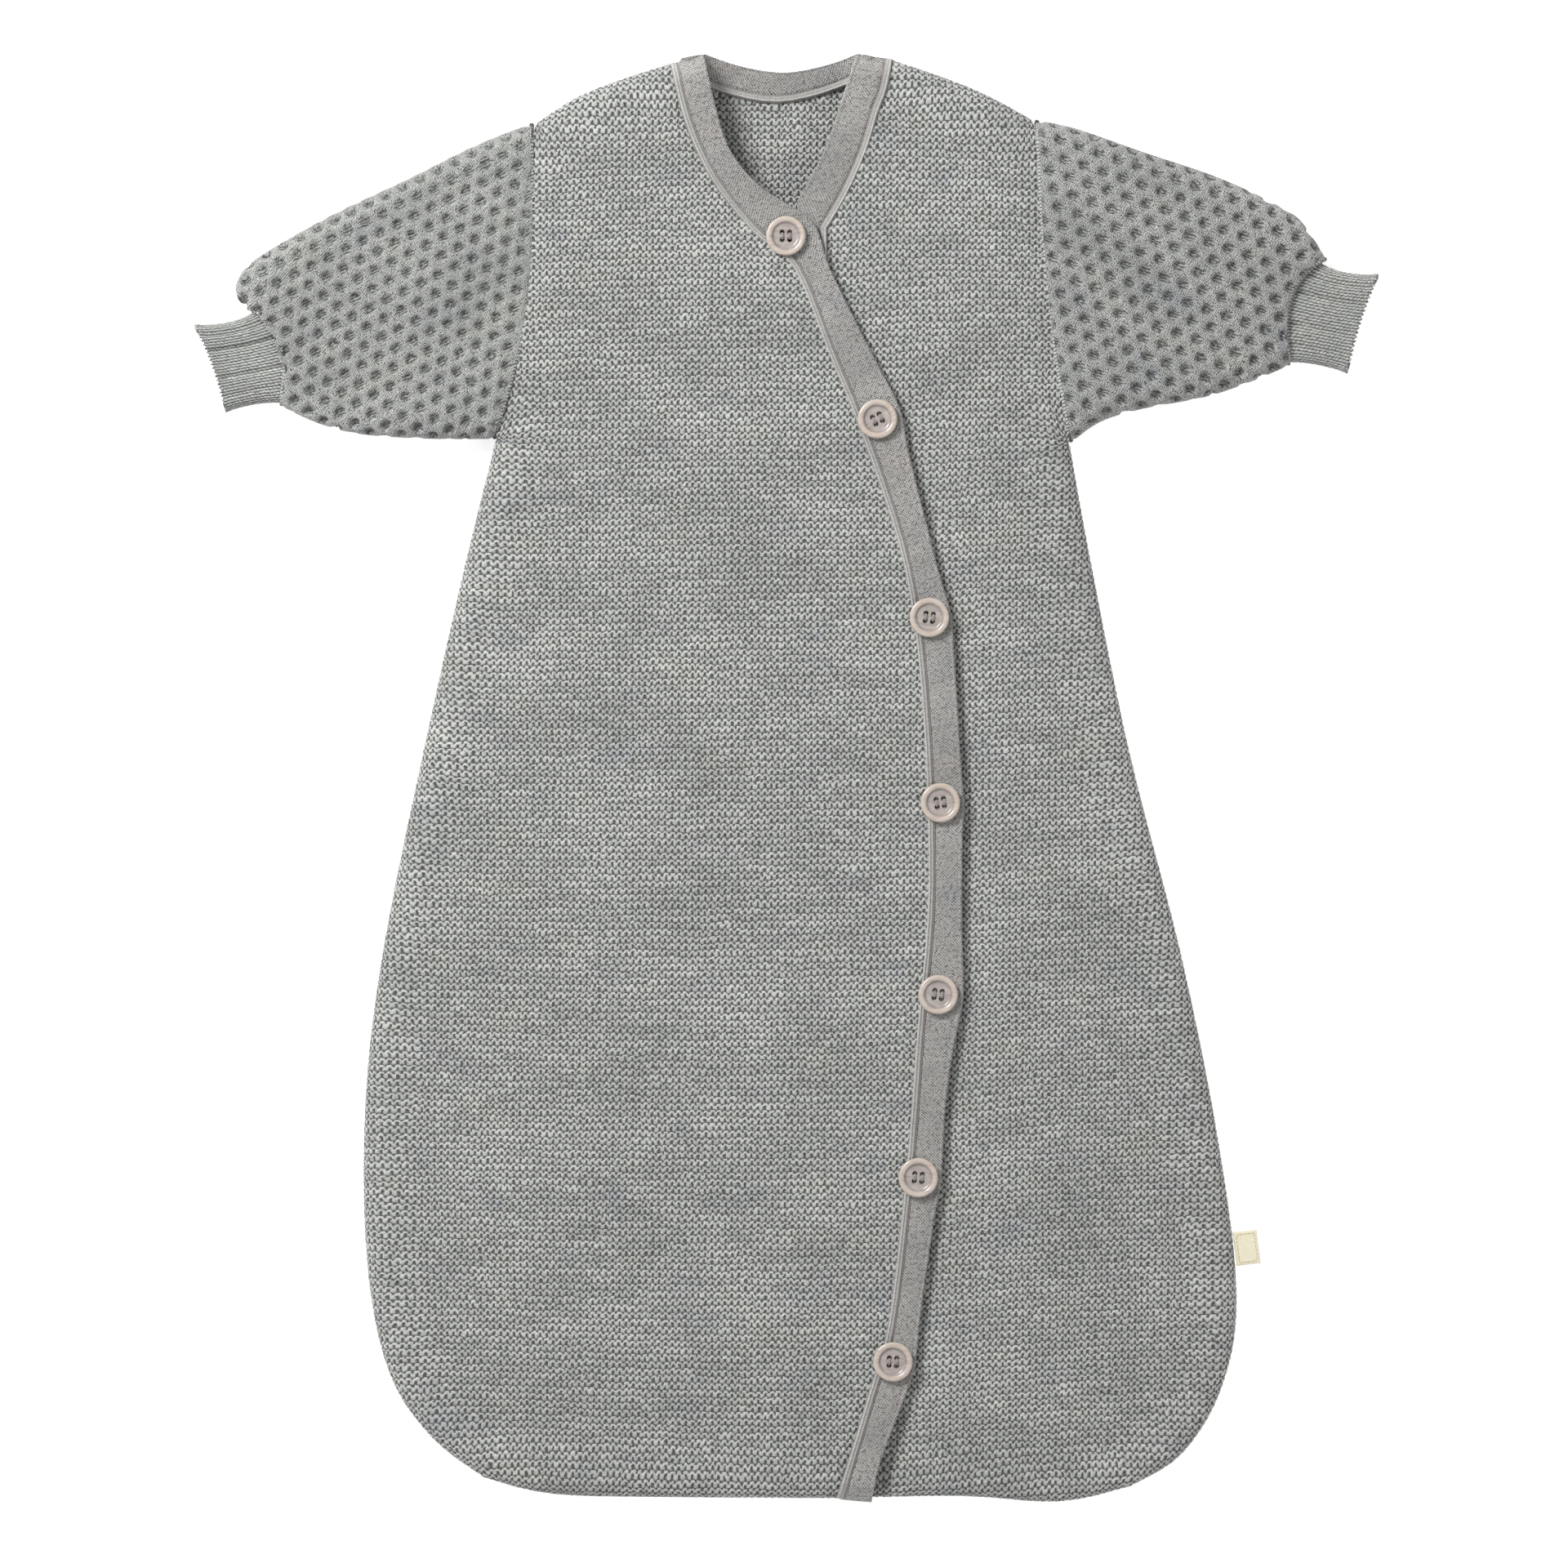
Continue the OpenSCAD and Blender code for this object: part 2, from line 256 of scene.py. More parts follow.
def inside(points, loop):
    """Which points lie inside a closed loop."""
    x, y = points.T
    hit = np.zeros(len(points), bool)
    for (x0, y0), (x1, y1) in zip(loop, np.roll(loop, -1, 0)):
        if y0 != y1:
            crossing = (y0 > y) != (y1 > y)
            hit ^= crossing & (x < (x1 - x0) * (y - y0) / (y1 - y0) + x0)
    return hit


def nearest(points, line):
    """For each point: its distance to the line, the closest point on it, and how far along that is."""
    best = np.full(len(points), 1e9)
    foot = np.zeros((len(points), 2))
    along = np.zeros(len(points))
    at = lengths(line)
    for k in range(len(line) - 1):
        a = line[k]
        step = line[k + 1] - a
        size = step @ step
        if size == 0:
            continue
        t = np.clip(((points - a) @ step) / size, 0, 1)
        here = a + t[:, None] * step
        away = np.einsum("ij,ij->i", points - here, points - here)
        closer = away < best
        best[closer] = away[closer]
        foot[closer] = here[closer]
        along[closer] = at[k] + t[closer] * math.sqrt(size)
    return np.sqrt(best), foot, along


def from_middle(line):
    """How far a line is from the middle of the bag, on average."""
    return np.linalg.norm(line, axis=1).mean()


def far_side(node, start):
    """The side of a CAD strip that is further from the middle of the bag."""
    return max(side_lines(node, start), key=from_middle)


def turned_plan(xy, degrees):
    """Plan points turned about the origin."""
    a = math.radians(degrees)
    x, y = xy.T
    return np.column_stack([x * math.cos(a) - y * math.sin(a), x * math.sin(a) + y * math.cos(a)])


# --- Meshes ---


def write_knit(mesh, knit):
    """Give each point its knit numbers, which the materials read."""
    place = mesh.attributes.new("knit", "FLOAT_VECTOR", "POINT")
    place.data.foreach_set("vector", knit.astype(np.float32).ravel())


def add_object(name, data):
    piece = bpy.data.objects.new(name, data)
    bpy.context.scene.collection.objects.link(piece)
    return piece


def make_piece(name, points, faces, knit, material):
    mesh = bpy.data.meshes.new(name)
    mesh.vertices.add(len(points))
    mesh.vertices.foreach_set("co", (points / 1000).astype(np.float32).ravel())
    faces = np.asarray(faces, np.int32)
    mesh.loops.add(faces.size)
    mesh.loops.foreach_set("vertex_index", faces.ravel())
    mesh.polygons.add(len(faces))
    mesh.polygons.foreach_set("loop_start", np.arange(0, faces.size, faces.shape[1], dtype=np.int32))
    mesh.update(calc_edges=True)
    mesh.validate()
    mesh.shade_smooth()
    write_knit(mesh, knit)
    mesh.materials.append(material)
    return add_object(name, mesh)


def join_parts(parts):
    """Several (points, faces, knit) as one."""
    points, faces, knit, start = [], [], [], 0
    for p, f, k in parts:
        points.append(p)
        faces.append(np.asarray(f) + start)
        knit.append(k)
        start += len(p)
    return np.concatenate(points), np.concatenate(faces), np.concatenate(knit)


def grid_faces(rows, columns, closed=False):
    """Faces of a grid of points, row after row; closed joins each row's last point to its first."""
    r = np.arange(rows - 1)[:, None]
    c = np.arange(columns if closed else columns - 1)[None, :]
    n = (c + 1) % columns
    a, b = r * columns + c, r * columns + n
    return np.stack([a, b, b + columns, a + columns], -1).reshape(-1, 4)


def rim_edges(faces):
    """The edges that only one face uses, in that face's direction."""
    a = faces.ravel()
    b = np.roll(faces, -1, 1).ravel()
    n = int(faces.max()) + 1
    alone = ~np.isin(a.astype(np.int64) * n + b, b.astype(np.int64) * n + a)
    return np.stack([a[alone], b[alone]], 1)


def shell(top, bottom, faces, knit):
    """A closed piece between two layers with the same faces."""
    n = len(top)
    rim = rim_edges(faces)
    wall = np.stack([rim[:, 1], rim[:, 0], rim[:, 0] + n, rim[:, 1] + n], 1)
    return (
        np.concatenate([top, bottom]),
        np.concatenate([faces, faces[:, ::-1] + n, wall]),
        np.concatenate([knit, knit]),
    )


def normals(points, faces):
    """The outward direction at each point of a mesh of quads."""
    a, b, c, d = (points[faces[:, k]] for k in range(4))
    face = np.cross(c - a, d - b)
    total = np.stack(
        [np.bincount(faces.ravel(), np.repeat(face[:, k], 4), len(points)) for k in range(3)], 1
    )
    return total / np.maximum(np.linalg.norm(total, axis=1, keepdims=True), 1e-9)


def sweep(path, radius, sides=8, closed=False):
    """A round cord along a path; radius is a number or one number for each point."""
    radius = np.broadcast_to(radius, len(path))
    if not closed:
        # Both ends narrow to a point
        before = path[:1] + (path[:1] - path[1:2]) * 0.2
        after = path[-1:] + (path[-1:] - path[-2:-1]) * 0.2
        path = np.vstack([before, path, after])
        radius = np.concatenate([[0.01], radius, [0.01]])
    step = np.roll(path, -1, 0) - np.roll(path, 1, 0) if closed else np.gradient(path, axis=0)
    step = step / np.linalg.norm(step, axis=1, keepdims=True)
    side = np.cross(step, [0.0, 0.0, 1.0])
    side[np.linalg.norm(side, axis=1) < 1e-6] = [1.0, 0.0, 0.0]
    side /= np.linalg.norm(side, axis=1, keepdims=True)
    up = np.cross(side, step)
    angle = np.arange(sides) / sides * TAU
    radius = radius[:, None, None]
    ring = side[:, None] * np.cos(angle)[None, :, None] + up[:, None] * np.sin(angle)[None, :, None]
    points = (path[:, None] + ring * radius).reshape(-1, 3)
    rows = len(path)
    grid = grid_faces(rows + closed, sides, True) % (rows * sides)
    around = np.tile(np.arange(sides) / sides, rows)
    knit = np.column_stack([around, np.repeat(lengths(path), sides), np.zeros(rows * sides)])
    return points, grid[:, ::-1], knit


# --- The bag's own lines, read from the CAD nodes ---

NECK = (0.0, 330.0)


def by_x(pair):
    """Two lines, the left one first."""
    return sorted(pair, key=lambda line: line[:, 0].mean())


def by_y(pair):
    """Two lines, the lower one first."""
    return sorted(pair, key=lambda line: line[:, 1].mean())


hole_ridge = by_x(side_lines("buttonhole_band_seam", NECK))
hole_band = by_x(side_lines("buttonhole_band", NECK))
under_ridge = by_x(side_lines("button_band_seam", NECK))
under_band = by_x(side_lines("button_band", NECK))
neck_ridge = by_y(side_lines("back_neck_seam", (-48.0, 326.0)))
neck_band = by_y(side_lines("back_neck_band", (-42.0, 328.0)))

rims = [
    far_side("left_side_seam", (-130.0, 155.0)),
    far_side("bottom_seam", (-137.0, -318.0)),
    far_side("right_side_seam", (130.0, 155.0))[::-1],
    far_side("left_shoulder_seam", (-50.0, 325.0)),
    far_side("right_shoulder_seam", (50.0, 325.0)),
    # The front bands' ends, where the back cloth rises to meet them
    np.array([hole_band[0][0], hole_band[1][0]]),
    np.array([under_band[0][0], under_band[1][0]]),
]
WAYS = {"left": -1.0, "right": 1.0}
CUFF_DROP = {"left": 0.05, "right": 0.15}  # share of the sleeve end's width
BOW = {"left": 8.0, "right": 3.6}  # how far the armhole seams curve into the body


def arm_lines(side):
    """A sleeve's and a cuff's upper and lower edges, from the body outwards."""
    way = WAYS[side]
    lower, upper = (spaced(line, 120) for line in by_y(side_lines(side + "_sleeve", (way * 120.0, 226.0))))
    cuff = by_y(side_lines(side + "_cuff", (way * 238.0, 200.0)))[::-1]
    # The sleeve's upper edge drops to the cuff over its last few centimetres
    drop = CUFF_DROP[side] * ease(np.linspace(0, 1, 120), 0.84, 1.0) ** 1.3
    upper = upper + drop[:, None] * (lower[-1] - upper[-1])
    return {"way": way, "upper": upper, "lower": lower, "cuff": cuff}


def button_place(k):
    """The middle of a button, in plan."""
    low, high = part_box(f"button_{k}")
    return np.array([(low.x + high.x) / 2, (low.y + high.y) / 2]) * 1000


arms = {side: arm_lines(side) for side in WAYS}
buttons = {k: button_place(k) for k in range(1, 8)}
BUTTON_TURN = {1: 0, 2: 27, 3: -7, 4: 8, 5: -7, 6: -5, 7: -3}  # degrees, as in the CAD
SLIT_LEAN = {1: 40, 2: 18, 3: 11, 4: 2, 5: -4, 6: -8, 7: -15}  # degrees from upright


def armhole_bow(side, share):
    """How the armhole seam curves into the body."""
    return np.array([-WAYS[side], 0.1]) * BOW[side] * np.sin(np.pi * share**1.15)


def armhole(side, count=40):
    """The curved armhole seam, from the shoulder to the underarm."""
    a, b = arms[side]["upper"][0], arms[side]["lower"][0]
    t = np.linspace(0, 1, count)[:, None]
    return a + (b - a) * t + armhole_bow(side, t)


# --- Height of the cloth ---


def waves(x, y, seed, size):
    """Gentle undulation, about -1 to 1."""
    rng = np.random.default_rng(seed)
    total = np.zeros_like(x)
    for _ in range(6):
        angle = rng.uniform(0, TAU)
        length = size * rng.uniform(0.7, 1.6)
        phase = rng.uniform(0, TAU)
        total += np.sin(TAU * (x * math.cos(angle) + y * math.sin(angle)) / length + phase)
    return total / 3


def wander(knit, xy, seed, amount):
    """The stitches drift a little from their places, as they do in a real knit."""
    moved = knit.copy()
    for k in range(2):
        near = waves(*xy.T, 70 + k + int(seed), 11)
        wide = waves(*xy.T, 80 + k + int(seed), 26)
        moved[:, k] += amount * (near + wide)
    return moved


def to_rims(xy):
    """Distance to the nearest joined edge of the bag, and the closest point on it."""
    best = np.full(len(xy), 1e9)
    foot = np.zeros_like(xy)
    for line in rims:
        away, here, _ = nearest(xy, line)
        closer = away < best
        best[closer] = away[closer]
        foot[closer] = here[closer]
    return best, foot


def to_armholes(xy):
    return np.minimum(nearest(xy, armhole("left"))[0], nearest(xy, armhole("right"))[0])


def bell(distance, reach):
    """1 at no distance, fading to 0 over about twice the reach."""
    return np.exp(-((distance / reach) ** 2))


def left_top(xy, rim):
    """Height of the left front: it swells in the middle and rises to the buttonhole ridge."""
    swell = 4.0 * (1 - bell(rim, 48)) + 0.7 * waves(*xy.T, 3, 120)
    beside = 0.9 * bell(nearest(xy, hole_ridge[0])[0], 14)
    return 15.8 + swell + beside - 1.6 * bell(to_armholes(xy), 6)


def right_top(xy, rim):
    """Height of the right front: it swells in the middle and sinks under the bands."""
    swell = 3.0 * (1 - bell(rim, 40)) + 0.6 * waves(*xy.T, 11, 110)
    beside = 3.2 * bell(nearest(xy, hole_band[1])[0], 11)
    return 15.6 + swell - beside - 1.6 * bell(to_armholes(xy), 6)


def back_top(xy, rim):
    """Height of the back: it lies flat."""
    return np.full(len(xy), BACK_Z)


def rounded_rim(xy, height, radius, top_of):
    """Plan points moved so that the cloth rolls over the bag's rim at an even stitch size.

    Returns the points in space; height and radius are the roll's own, up and across."""
    rim, foot = to_rims(xy)
    reach = 2 * radius
    quarter = math.pi / 2 * math.sqrt((radius**2 + height**2) / 2)
    arc = np.minimum(rim / reach, 1) * (quarter + reach - radius)
    turn = np.minimum(arc / quarter, 1) * math.pi / 2
    plan = np.where(arc < quarter, radius * (1 - np.cos(turn)), radius + arc - quarter)
    plan = np.where(rim < reach, plan, rim)
    inward = (xy - foot) / np.maximum(rim, 1e-6)[:, None]
    moved = np.where((rim < reach)[:, None], foot + inward * plan[:, None], xy)
    top = top_of(moved, plan)
    return np.column_stack([moved, SEAM_Z + (top - SEAM_Z) * np.sin(turn)])


def cloth_grid(loop, step, warp):
    """A knit grid trimmed to a loop: plan points, faces, and each point's stitch and ridge.

    step is the grid's own step, in stitches and in ridges."""
    low, high = loop.min(0) - 12, loop.max(0) + 12
    i = np.arange(math.floor(low[0] / (STITCH * step)), math.ceil(high[0] / (STITCH * step)))
    j = np.arange(math.floor(low[1] / (RIDGE * step)), math.ceil(high[1] / (RIDGE * step)))
    u, v = np.meshgrid(i * step, j * step)
    u, v = u.ravel(), v.ravel()
    xy = np.column_stack([u * STITCH, v * RIDGE])
    xy[:, 1] += warp(xy[:, 0], xy[:, 1])
    keep = inside(xy, loop)
    faces = grid_faces(len(j), len(i))
    faces = faces[keep[faces].all(1)]
    used = np.zeros(len(xy), bool)
    used[faces] = True
    number = np.cumsum(used) - 1
    faces = number[faces]
    xy, knit = xy[used], np.column_stack([u, v, np.zeros(len(u))])[used]
    edge = np.unique(rim_edges(faces))
    ring = np.vstack([loop, loop[:1]])
    away, foot, _ = nearest(xy[edge], ring)
    near = away < 1.6 * STITCH * step
    xy[edge[near]] = foot[near]
    return xy, faces, knit


def row_warp(x, y):
    """How the rows of the body bend: they sag at the hem and lift at the shoulders."""
    hem = 2.5 * bell(y + 330, 90) * np.cos(x / 190 * math.pi / 2)
    shoulders = 5.0 * bell(y - 330, 110) * (0.5 - (x / 120) ** 2)
    return shoulders - hem + 1.2 * np.sin(x / 70 + y / 160)


# --- Materials ---


def new_material(name):
    material = bpy.data.materials.new(name)
    material.use_nodes = True
    tree = material.node_tree
    shader = tree.nodes["Principled BSDF"]
    return material, tree, shader


def set_inputs(node, values):
    for name, value in values.items():
        node.inputs[name].default_value = value


def knit_place(tree):
    """The stitch and ridge of a point, and its piece's own third number."""
    source = tree.nodes.new("ShaderNodeAttribute")
    source.attribute_name = "knit"
    return split(tree, source.outputs["Vector"])


def noise_node(tree, x, y, z=0.0, detail=2.0, roughness=0.5):
    spot = tree.nodes.new("ShaderNodeCombineXYZ")
    fill_slots(tree, spot, (x, y, z))
    node = tree.nodes.new("ShaderNodeTexNoise")
    set_inputs(node, {"Scale": 1.0, "Detail": detail, "Roughness": roughness})
    tree.links.new(spot.outputs[0], node.inputs["Vector"])
    return node


def noise(tree, *place):
    return Wire(tree, noise_node(tree, *place).outputs["Fac"])


def blend_colours(tree, share, a, b):
    """Colour a where share is 0 and b where it is 1; each is a colour or a socket."""
    node = tree.nodes.new("ShaderNodeMix")
    node.data_type = "RGBA"
    tree.links.new(share.socket, node.inputs["Factor"])
    for slot, value in ((node.inputs["A"], a), (node.inputs["B"], b)):
        if isinstance(value, tuple):
            slot.default_value = (*value, 1)
        else:
            tree.links.new(value, slot)
    return node.outputs["Result"]


def split(tree, vector):
    """The three numbers of a vector or colour socket."""
    node = tree.nodes.new("ShaderNodeSeparateXYZ")
    tree.links.new(vector, node.inputs[0])
    return [Wire(tree, node.outputs[k]) for k in range(3)]


def loosened(tree, u, v, x, y, seed, amount):
    """Knit numbers moved a little, differently from stitch to stitch."""
    spot = noise_node(tree, x * 0.42, y * 0.42, seed + 1.0, 1.0, 0.6)
    a, b, _ = split(tree, spot.outputs["Color"])
    return u + (a - 0.5) * (2.0 * amount), v + (b - 0.5) * (2.0 * amount)


def bumped(tree, shader, height, strength, depth):
    """Raise the surface by height, where 1 is depth millimetres."""
    bump = tree.nodes.new("ShaderNodeBump")
    set_inputs(bump, {"Strength": strength, "Distance": depth / 1000})
    tree.links.new(height.socket, bump.inputs["Height"])
    tree.links.new(bump.outputs["Normal"], shader.inputs["Normal"])


def knit_material(name, pattern, size, tones, depth, streak=1.0, loose=0.3, hollow=0.9, speckle=0.9):
    """Melange wool: pattern gives the height of the knitting, which shades and raises it, and darkens its
    pits with painted shade.

    size is that of one step of the knit numbers, across and along; tones are the dark and light
    yarn, the painted shade of the pits, and the cool and warm blotches. streak is how much rows differ,
    loose how far stitches stray, hollow how dark the painted shade in the pits is and speckle how uneven."""
    material, tree, shader = new_material(name)
    u, v, seed = knit_place(tree)
    x, y = u * size[0], v * size[1]
    height = pattern(*loosened(tree, u, v, x, y, seed, loose))
    # pit is not a yarn colour but the painted shade that the pits get
    dark, light, pit, cool, warm = tones
    rows = noise(tree, x * 0.045, rounded(y / RIDGE) * 7.3 + y * 0.05, seed, 3.0, 0.65)
    patch = noise(tree, x * 0.018, y * 0.027, seed + 4.0, 2.0)
    tint = noise(tree, x * 0.035, y * 0.05, seed + 9.0, 2.0)
    loop = noise(tree, x * 0.6, y * 0.75, seed + 2.0, 2.0, 0.7)
    fibre = noise(tree, x * 3.1, y * 3.1, seed + 6.0, 2.0, 0.6)
    share = (rows - 0.5) * (1.5 * streak) + (patch - 0.5)
    share = share + (loop - 0.5) * (1.2 + speckle) + (fibre - 0.5) * 2.2 + 0.5
    colour = blend_colours(tree, clamp(share), dark, light)
    colour = blend_colours(tree, ease(tint, 0.56, 0.74) * 0.55, colour, cool)
    colour = blend_colours(tree, ease(tint * -1.0, -0.42, -0.28) * 0.35, colour, warm)
    # Painted shade: where the pattern is low, in the pits and pockets, the colour is blended towards the
    # dark pit tone
    pit_shade_share = ease(1.0 - height + (loop - 0.5) * speckle, 0.2, 0.95) * hollow
    colour = blend_colours(tree, clamp(pit_shade_share), colour, pit)
    tree.links.new(colour, shader.inputs["Base Color"])
    bumped(tree, shader, height + (fibre - 0.5) * 0.7, 1.0, depth)
    tree.links.new((0.8 + (loop - 0.5) * 0.25).socket, shader.inputs["Roughness"])
    set_inputs(shader, {"Specular IOR Level": 0.25, "Sheen Weight": 0.15, "Sheen Roughness": 0.5})
    set_inputs(shader, {"Sheen Tint": (0.95, 0.96, 0.95, 1)})
    return material


# Dark yarn, light yarn, painted shade for the pits, cool blotches, warm blotches
GREY = (
    (0.42, 0.43, 0.41), (0.78, 0.79, 0.755), (0.055, 0.06, 0.055), (0.47, 0.47, 0.52), (0.68, 0.64, 0.60),
)
BAND_GREY = (
    (0.38, 0.375, 0.365), (0.78, 0.76, 0.73), (0.09, 0.085, 0.08), (0.45, 0.45, 0.49), (0.66, 0.58, 0.555),
)
RIDGE_GREY = (
    (0.42, 0.41, 0.395), (0.70, 0.685, 0.655), (0.14, 0.125, 0.12), (0.46, 0.46, 0.48), (0.66, 0.58, 0.56),
)
THREAD_GREY = (
    (0.40, 0.37, 0.35), (0.62, 0.58, 0.55), (0.12, 0.10, 0.10), (0.42, 0.40, 0.42), (0.55, 0.50, 0.46),
)
LABEL_THREAD = (
    (0.72, 0.62, 0.36), (0.92, 0.84, 0.60), (0.40, 0.34, 0.20), (0.75, 0.68, 0.50), (0.85, 0.76, 0.55),
)

# Steps from one honeycomb pocket to its next ones, along the sleeve and across it
LATTICE = {
    "left": np.array([[7.8, 3.8], [1.2, 8.6]]),
    "right": np.array([[8.8, -3.0], [2.0, -8.4]]),
}


def pockets_and_ladder(u, v):
    """Honeycomb with the ladder of strands at the bottom of each pocket and granular lattice."""
    cell = honeycomb(u, v)
    ladder = 0.5 + 0.5 * cos(TAU * 5.8 * v)
    grain = (0.5 + 0.5 * cos(TAU * 6.0 * u) * cos(TAU * 5.2 * v + TAU * 2.5 * u)) ** 0.6
    return cell * (0.12 + 0.88 * grain) + (1.0 - cell) * (0.06 + 0.52 * ladder)


def chain(u, v):
    """Linked seam, 0 to 1: a thin row of loops, a flatter one, and the groove beside the band.

    u is across, from -1 at the cloth to 1 at the band; v is along, in loops."""
    edge = dome(u, -0.55, 0.42) ** 0.5
    flat = dome(u, 0.3, 0.5) ** 0.5
    return highest(edge * (0.82 + 0.18 * cos(TAU * v)), flat * (0.6 + 0.22 * cos(TAU * v * 2.0)))


def cord_pattern(u, v):
    """Twisted yarn, 0 to 1: u round it and v millimetres along."""
    return 0.55 + 0.45 * cos(TAU * (v / 1.6 + u))


def fine_cord_pattern(u, v):
    """Sewing thread on the buttons."""
    return cord_pattern(u, v * 1.8)


def label_cord_pattern(u, v):
    """The label's thinner thread."""
    return cord_pattern(u, v * 3.0)


garter_wool = knit_material("garter_wool", garter, (STITCH, RIDGE), GREY, 0.9)
honeycomb_wool = knit_material(
    "honeycomb_wool", pockets_and_ladder, (8.6, 8.6), GREY, 1.0, streak=0.5, loose=0.12, speckle=3.4
)
rib_wool = knit_material(
    "rib_wool", ribs, (RIB, 1.35), GREY, 0.6, streak=0.6, loose=0.28, hollow=0.85, speckle=1.8
)
jersey_wool = knit_material(
    "jersey_wool", birdseye, (JERSEY, JERSEY), BAND_GREY, 0.45,
    streak=0.5, loose=0.34, hollow=0.95, speckle=2.2,
)
ridge_wool = knit_material(
    "ridge_wool", chain, (1.5, 1.4), RIDGE_GREY, 0.5, streak=0.3, loose=0.08, hollow=0.6, speckle=0.6
)
seam_wool = knit_material(
    "seam_wool", cord_pattern, (3.0, 1.0), GREY, 0.4, streak=0.3, loose=0.05, hollow=0.8
)
thread_wool = knit_material(
    "thread_wool", fine_cord_pattern, (1.0, 1.0), THREAD_GREY, 0.15, streak=0.2, loose=0.03, hollow=0.8
)
label_thread = knit_material(
    "label_thread", label_cord_pattern, (1.0, 1.0), LABEL_THREAD, 0.08, streak=0.2, loose=0.03, hollow=0.5
)


def button_material():
    """Horn-like shell: pearly beige, cloudy, darker in the dish, with painted shade in a ring at the
    dish's foot and a clear polish.
    """
    material, tree, shader = new_material("button_shell")
    x, y, seed = knit_place(tree)
    bend = noise(tree, x * 0.12, y * 0.12, seed * 3.7, 2.0)
    grain = noise(tree, x * 0.16 + bend * 2.2, y * 0.75 + bend * 1.5, seed * 5.1, 3.0, 0.6)
    cloud = noise(tree, x * 0.3, y * 0.3, seed * 2.3 + 8.0, 2.0)
    out = (x * x + y * y) ** 0.5
    rim = ease(out, 5.6, 7.4)
    colour = blend_colours(tree, clamp(grain * 1.6 - 0.3), (0.30, 0.255, 0.235), (0.50, 0.45, 0.42))
    pale = blend_colours(tree, clamp(grain * 1.4 - 0.2), (0.46, 0.375, 0.32), (0.66, 0.575, 0.50))
    colour = blend_colours(tree, rim, colour, pale)
    colour = blend_colours(tree, ease(cloud, 0.5, 0.75) * 0.35, colour, (0.60, 0.56, 0.55))
    # Painted shade: a darker ring round the foot of the dish wall
    ring = 1.0 - clamp(abs(out - 5.9) / 0.8)
    colour = blend_colours(tree, ring * 0.4, colour, (0.22, 0.175, 0.16))
    tree.links.new(colour, shader.inputs["Base Color"])
    tree.links.new((0.3 + (grain - 0.5) * 0.3).socket, shader.inputs["Roughness"])
    bumped(tree, shader, grain, 0.4, 0.1)
    set_inputs(shader, {"Coat Weight": 0.7, "Coat Roughness": 0.12})
    set_inputs(shader, {"Subsurface Weight": 0.15, "Subsurface Radius": (0.0012, 0.0009, 0.0007)})
    return material


def tape_material():
    """Cream label tape: a fine diagonal weave with a satin sheen."""
    material, tree, shader = new_material("label_tape")
    x, y, seed = knit_place(tree)
    weave = 0.5 + 0.5 * cos(TAU * (x + y) / 0.42) * cos(TAU * (x - y) / 0.9)
    cloud = noise(tree, x * 0.5, y * 0.5, seed, 2.0)
    share = clamp(weave * 0.6 + (cloud - 0.5) * 0.8 + 0.2)
    colour = blend_colours(tree, share, (0.80, 0.73, 0.52), (0.95, 0.90, 0.73))
    tree.links.new(colour, shader.inputs["Base Color"])
    bumped(tree, shader, weave, 0.6, 0.12)
    tree.links.new((0.55 + (cloud - 0.5) * 0.2).socket, shader.inputs["Roughness"])
    set_inputs(shader, {"Sheen Weight": 0.3, "Sheen Roughness": 0.4})
    return material


button_shell = button_material()
label_tape = tape_material()


# --- Body cloths ---


def right_warp(x, y):
    """The right front's rows also climb away from the button band."""
    line = hole_band[1][np.argsort(hole_band[1][:, 1])]
    away = np.maximum(x - np.interp(y, line[:, 1], line[:, 0]), 0)
    return row_warp(x, y) + 6.5 * (1 - np.exp(-away / 55))


def lay_cloth(name, loop, step, height, radius, top_of, seed, warp=row_warp):
    """A garter-stitch cloth: a knit grid in its outline, rolled at the rim, with loops raised."""
    xy, faces, knit = cloth_grid(loop, step, warp)
    points = rounded_rim(xy, height, radius, top_of)
    out = normals(points, faces)
    knit = wander(knit, xy, seed, 0.1)
    points = points + out * (garter(knit[:, 0], knit[:, 1]) - 0.5)[:, None] * LOOP
    knit[:, 2] = seed
    return make_piece(name, points, faces, knit, garter_wool)


def closest(loop, point):
    """The number of the loop's point that is nearest to a given point."""
    return int(np.argmin(np.linalg.norm(loop - point, axis=1)))


def go_round(loop, i, j):
    """The loop's points from number i on to number j."""
    return [loop[(i + k) % len(loop)] for k in range((j - i) % len(loop) + 1)]


def cut_from(loop, a, b):
    """The part of a loop from its point nearest a to its point nearest b, the longer way round."""
    i, j = closest(loop, a), closest(loop, b)
    return np.array(max(go_round(loop, i, j), go_round(loop, j, i)[::-1], key=len))


def curved_armhole(loop, side):
    """A body outline whose straight armhole edge follows the curved armhole seam."""
    seam = armhole(side)
    i, j = closest(loop, seam[0]), closest(loop, seam[-1])
    if (j - i) % len(loop) < (i - j) % len(loop):
        return np.array(go_round(loop, j, i) + list(seam[1:-1]))
    return np.array(go_round(loop, i, j) + list(seam[::-1][1:-1]))


fold_top, fold_end = hole_ridge[0][0], hole_ridge[0][-1]
left_loop = cut_from(cad_outline("left_front_panel"), fold_top, fold_end)
left_loop = np.concatenate([left_loop, (hole_ridge[0] + [1.2, 0.0])[::-1]])
left_loop = curved_armhole(left_loop, "left")
right_loop = curved_armhole(cad_outline("right_front_panel"), "right")
back_loop = curved_armhole(curved_armhole(cad_outline("back_panel"), "left"), "right")

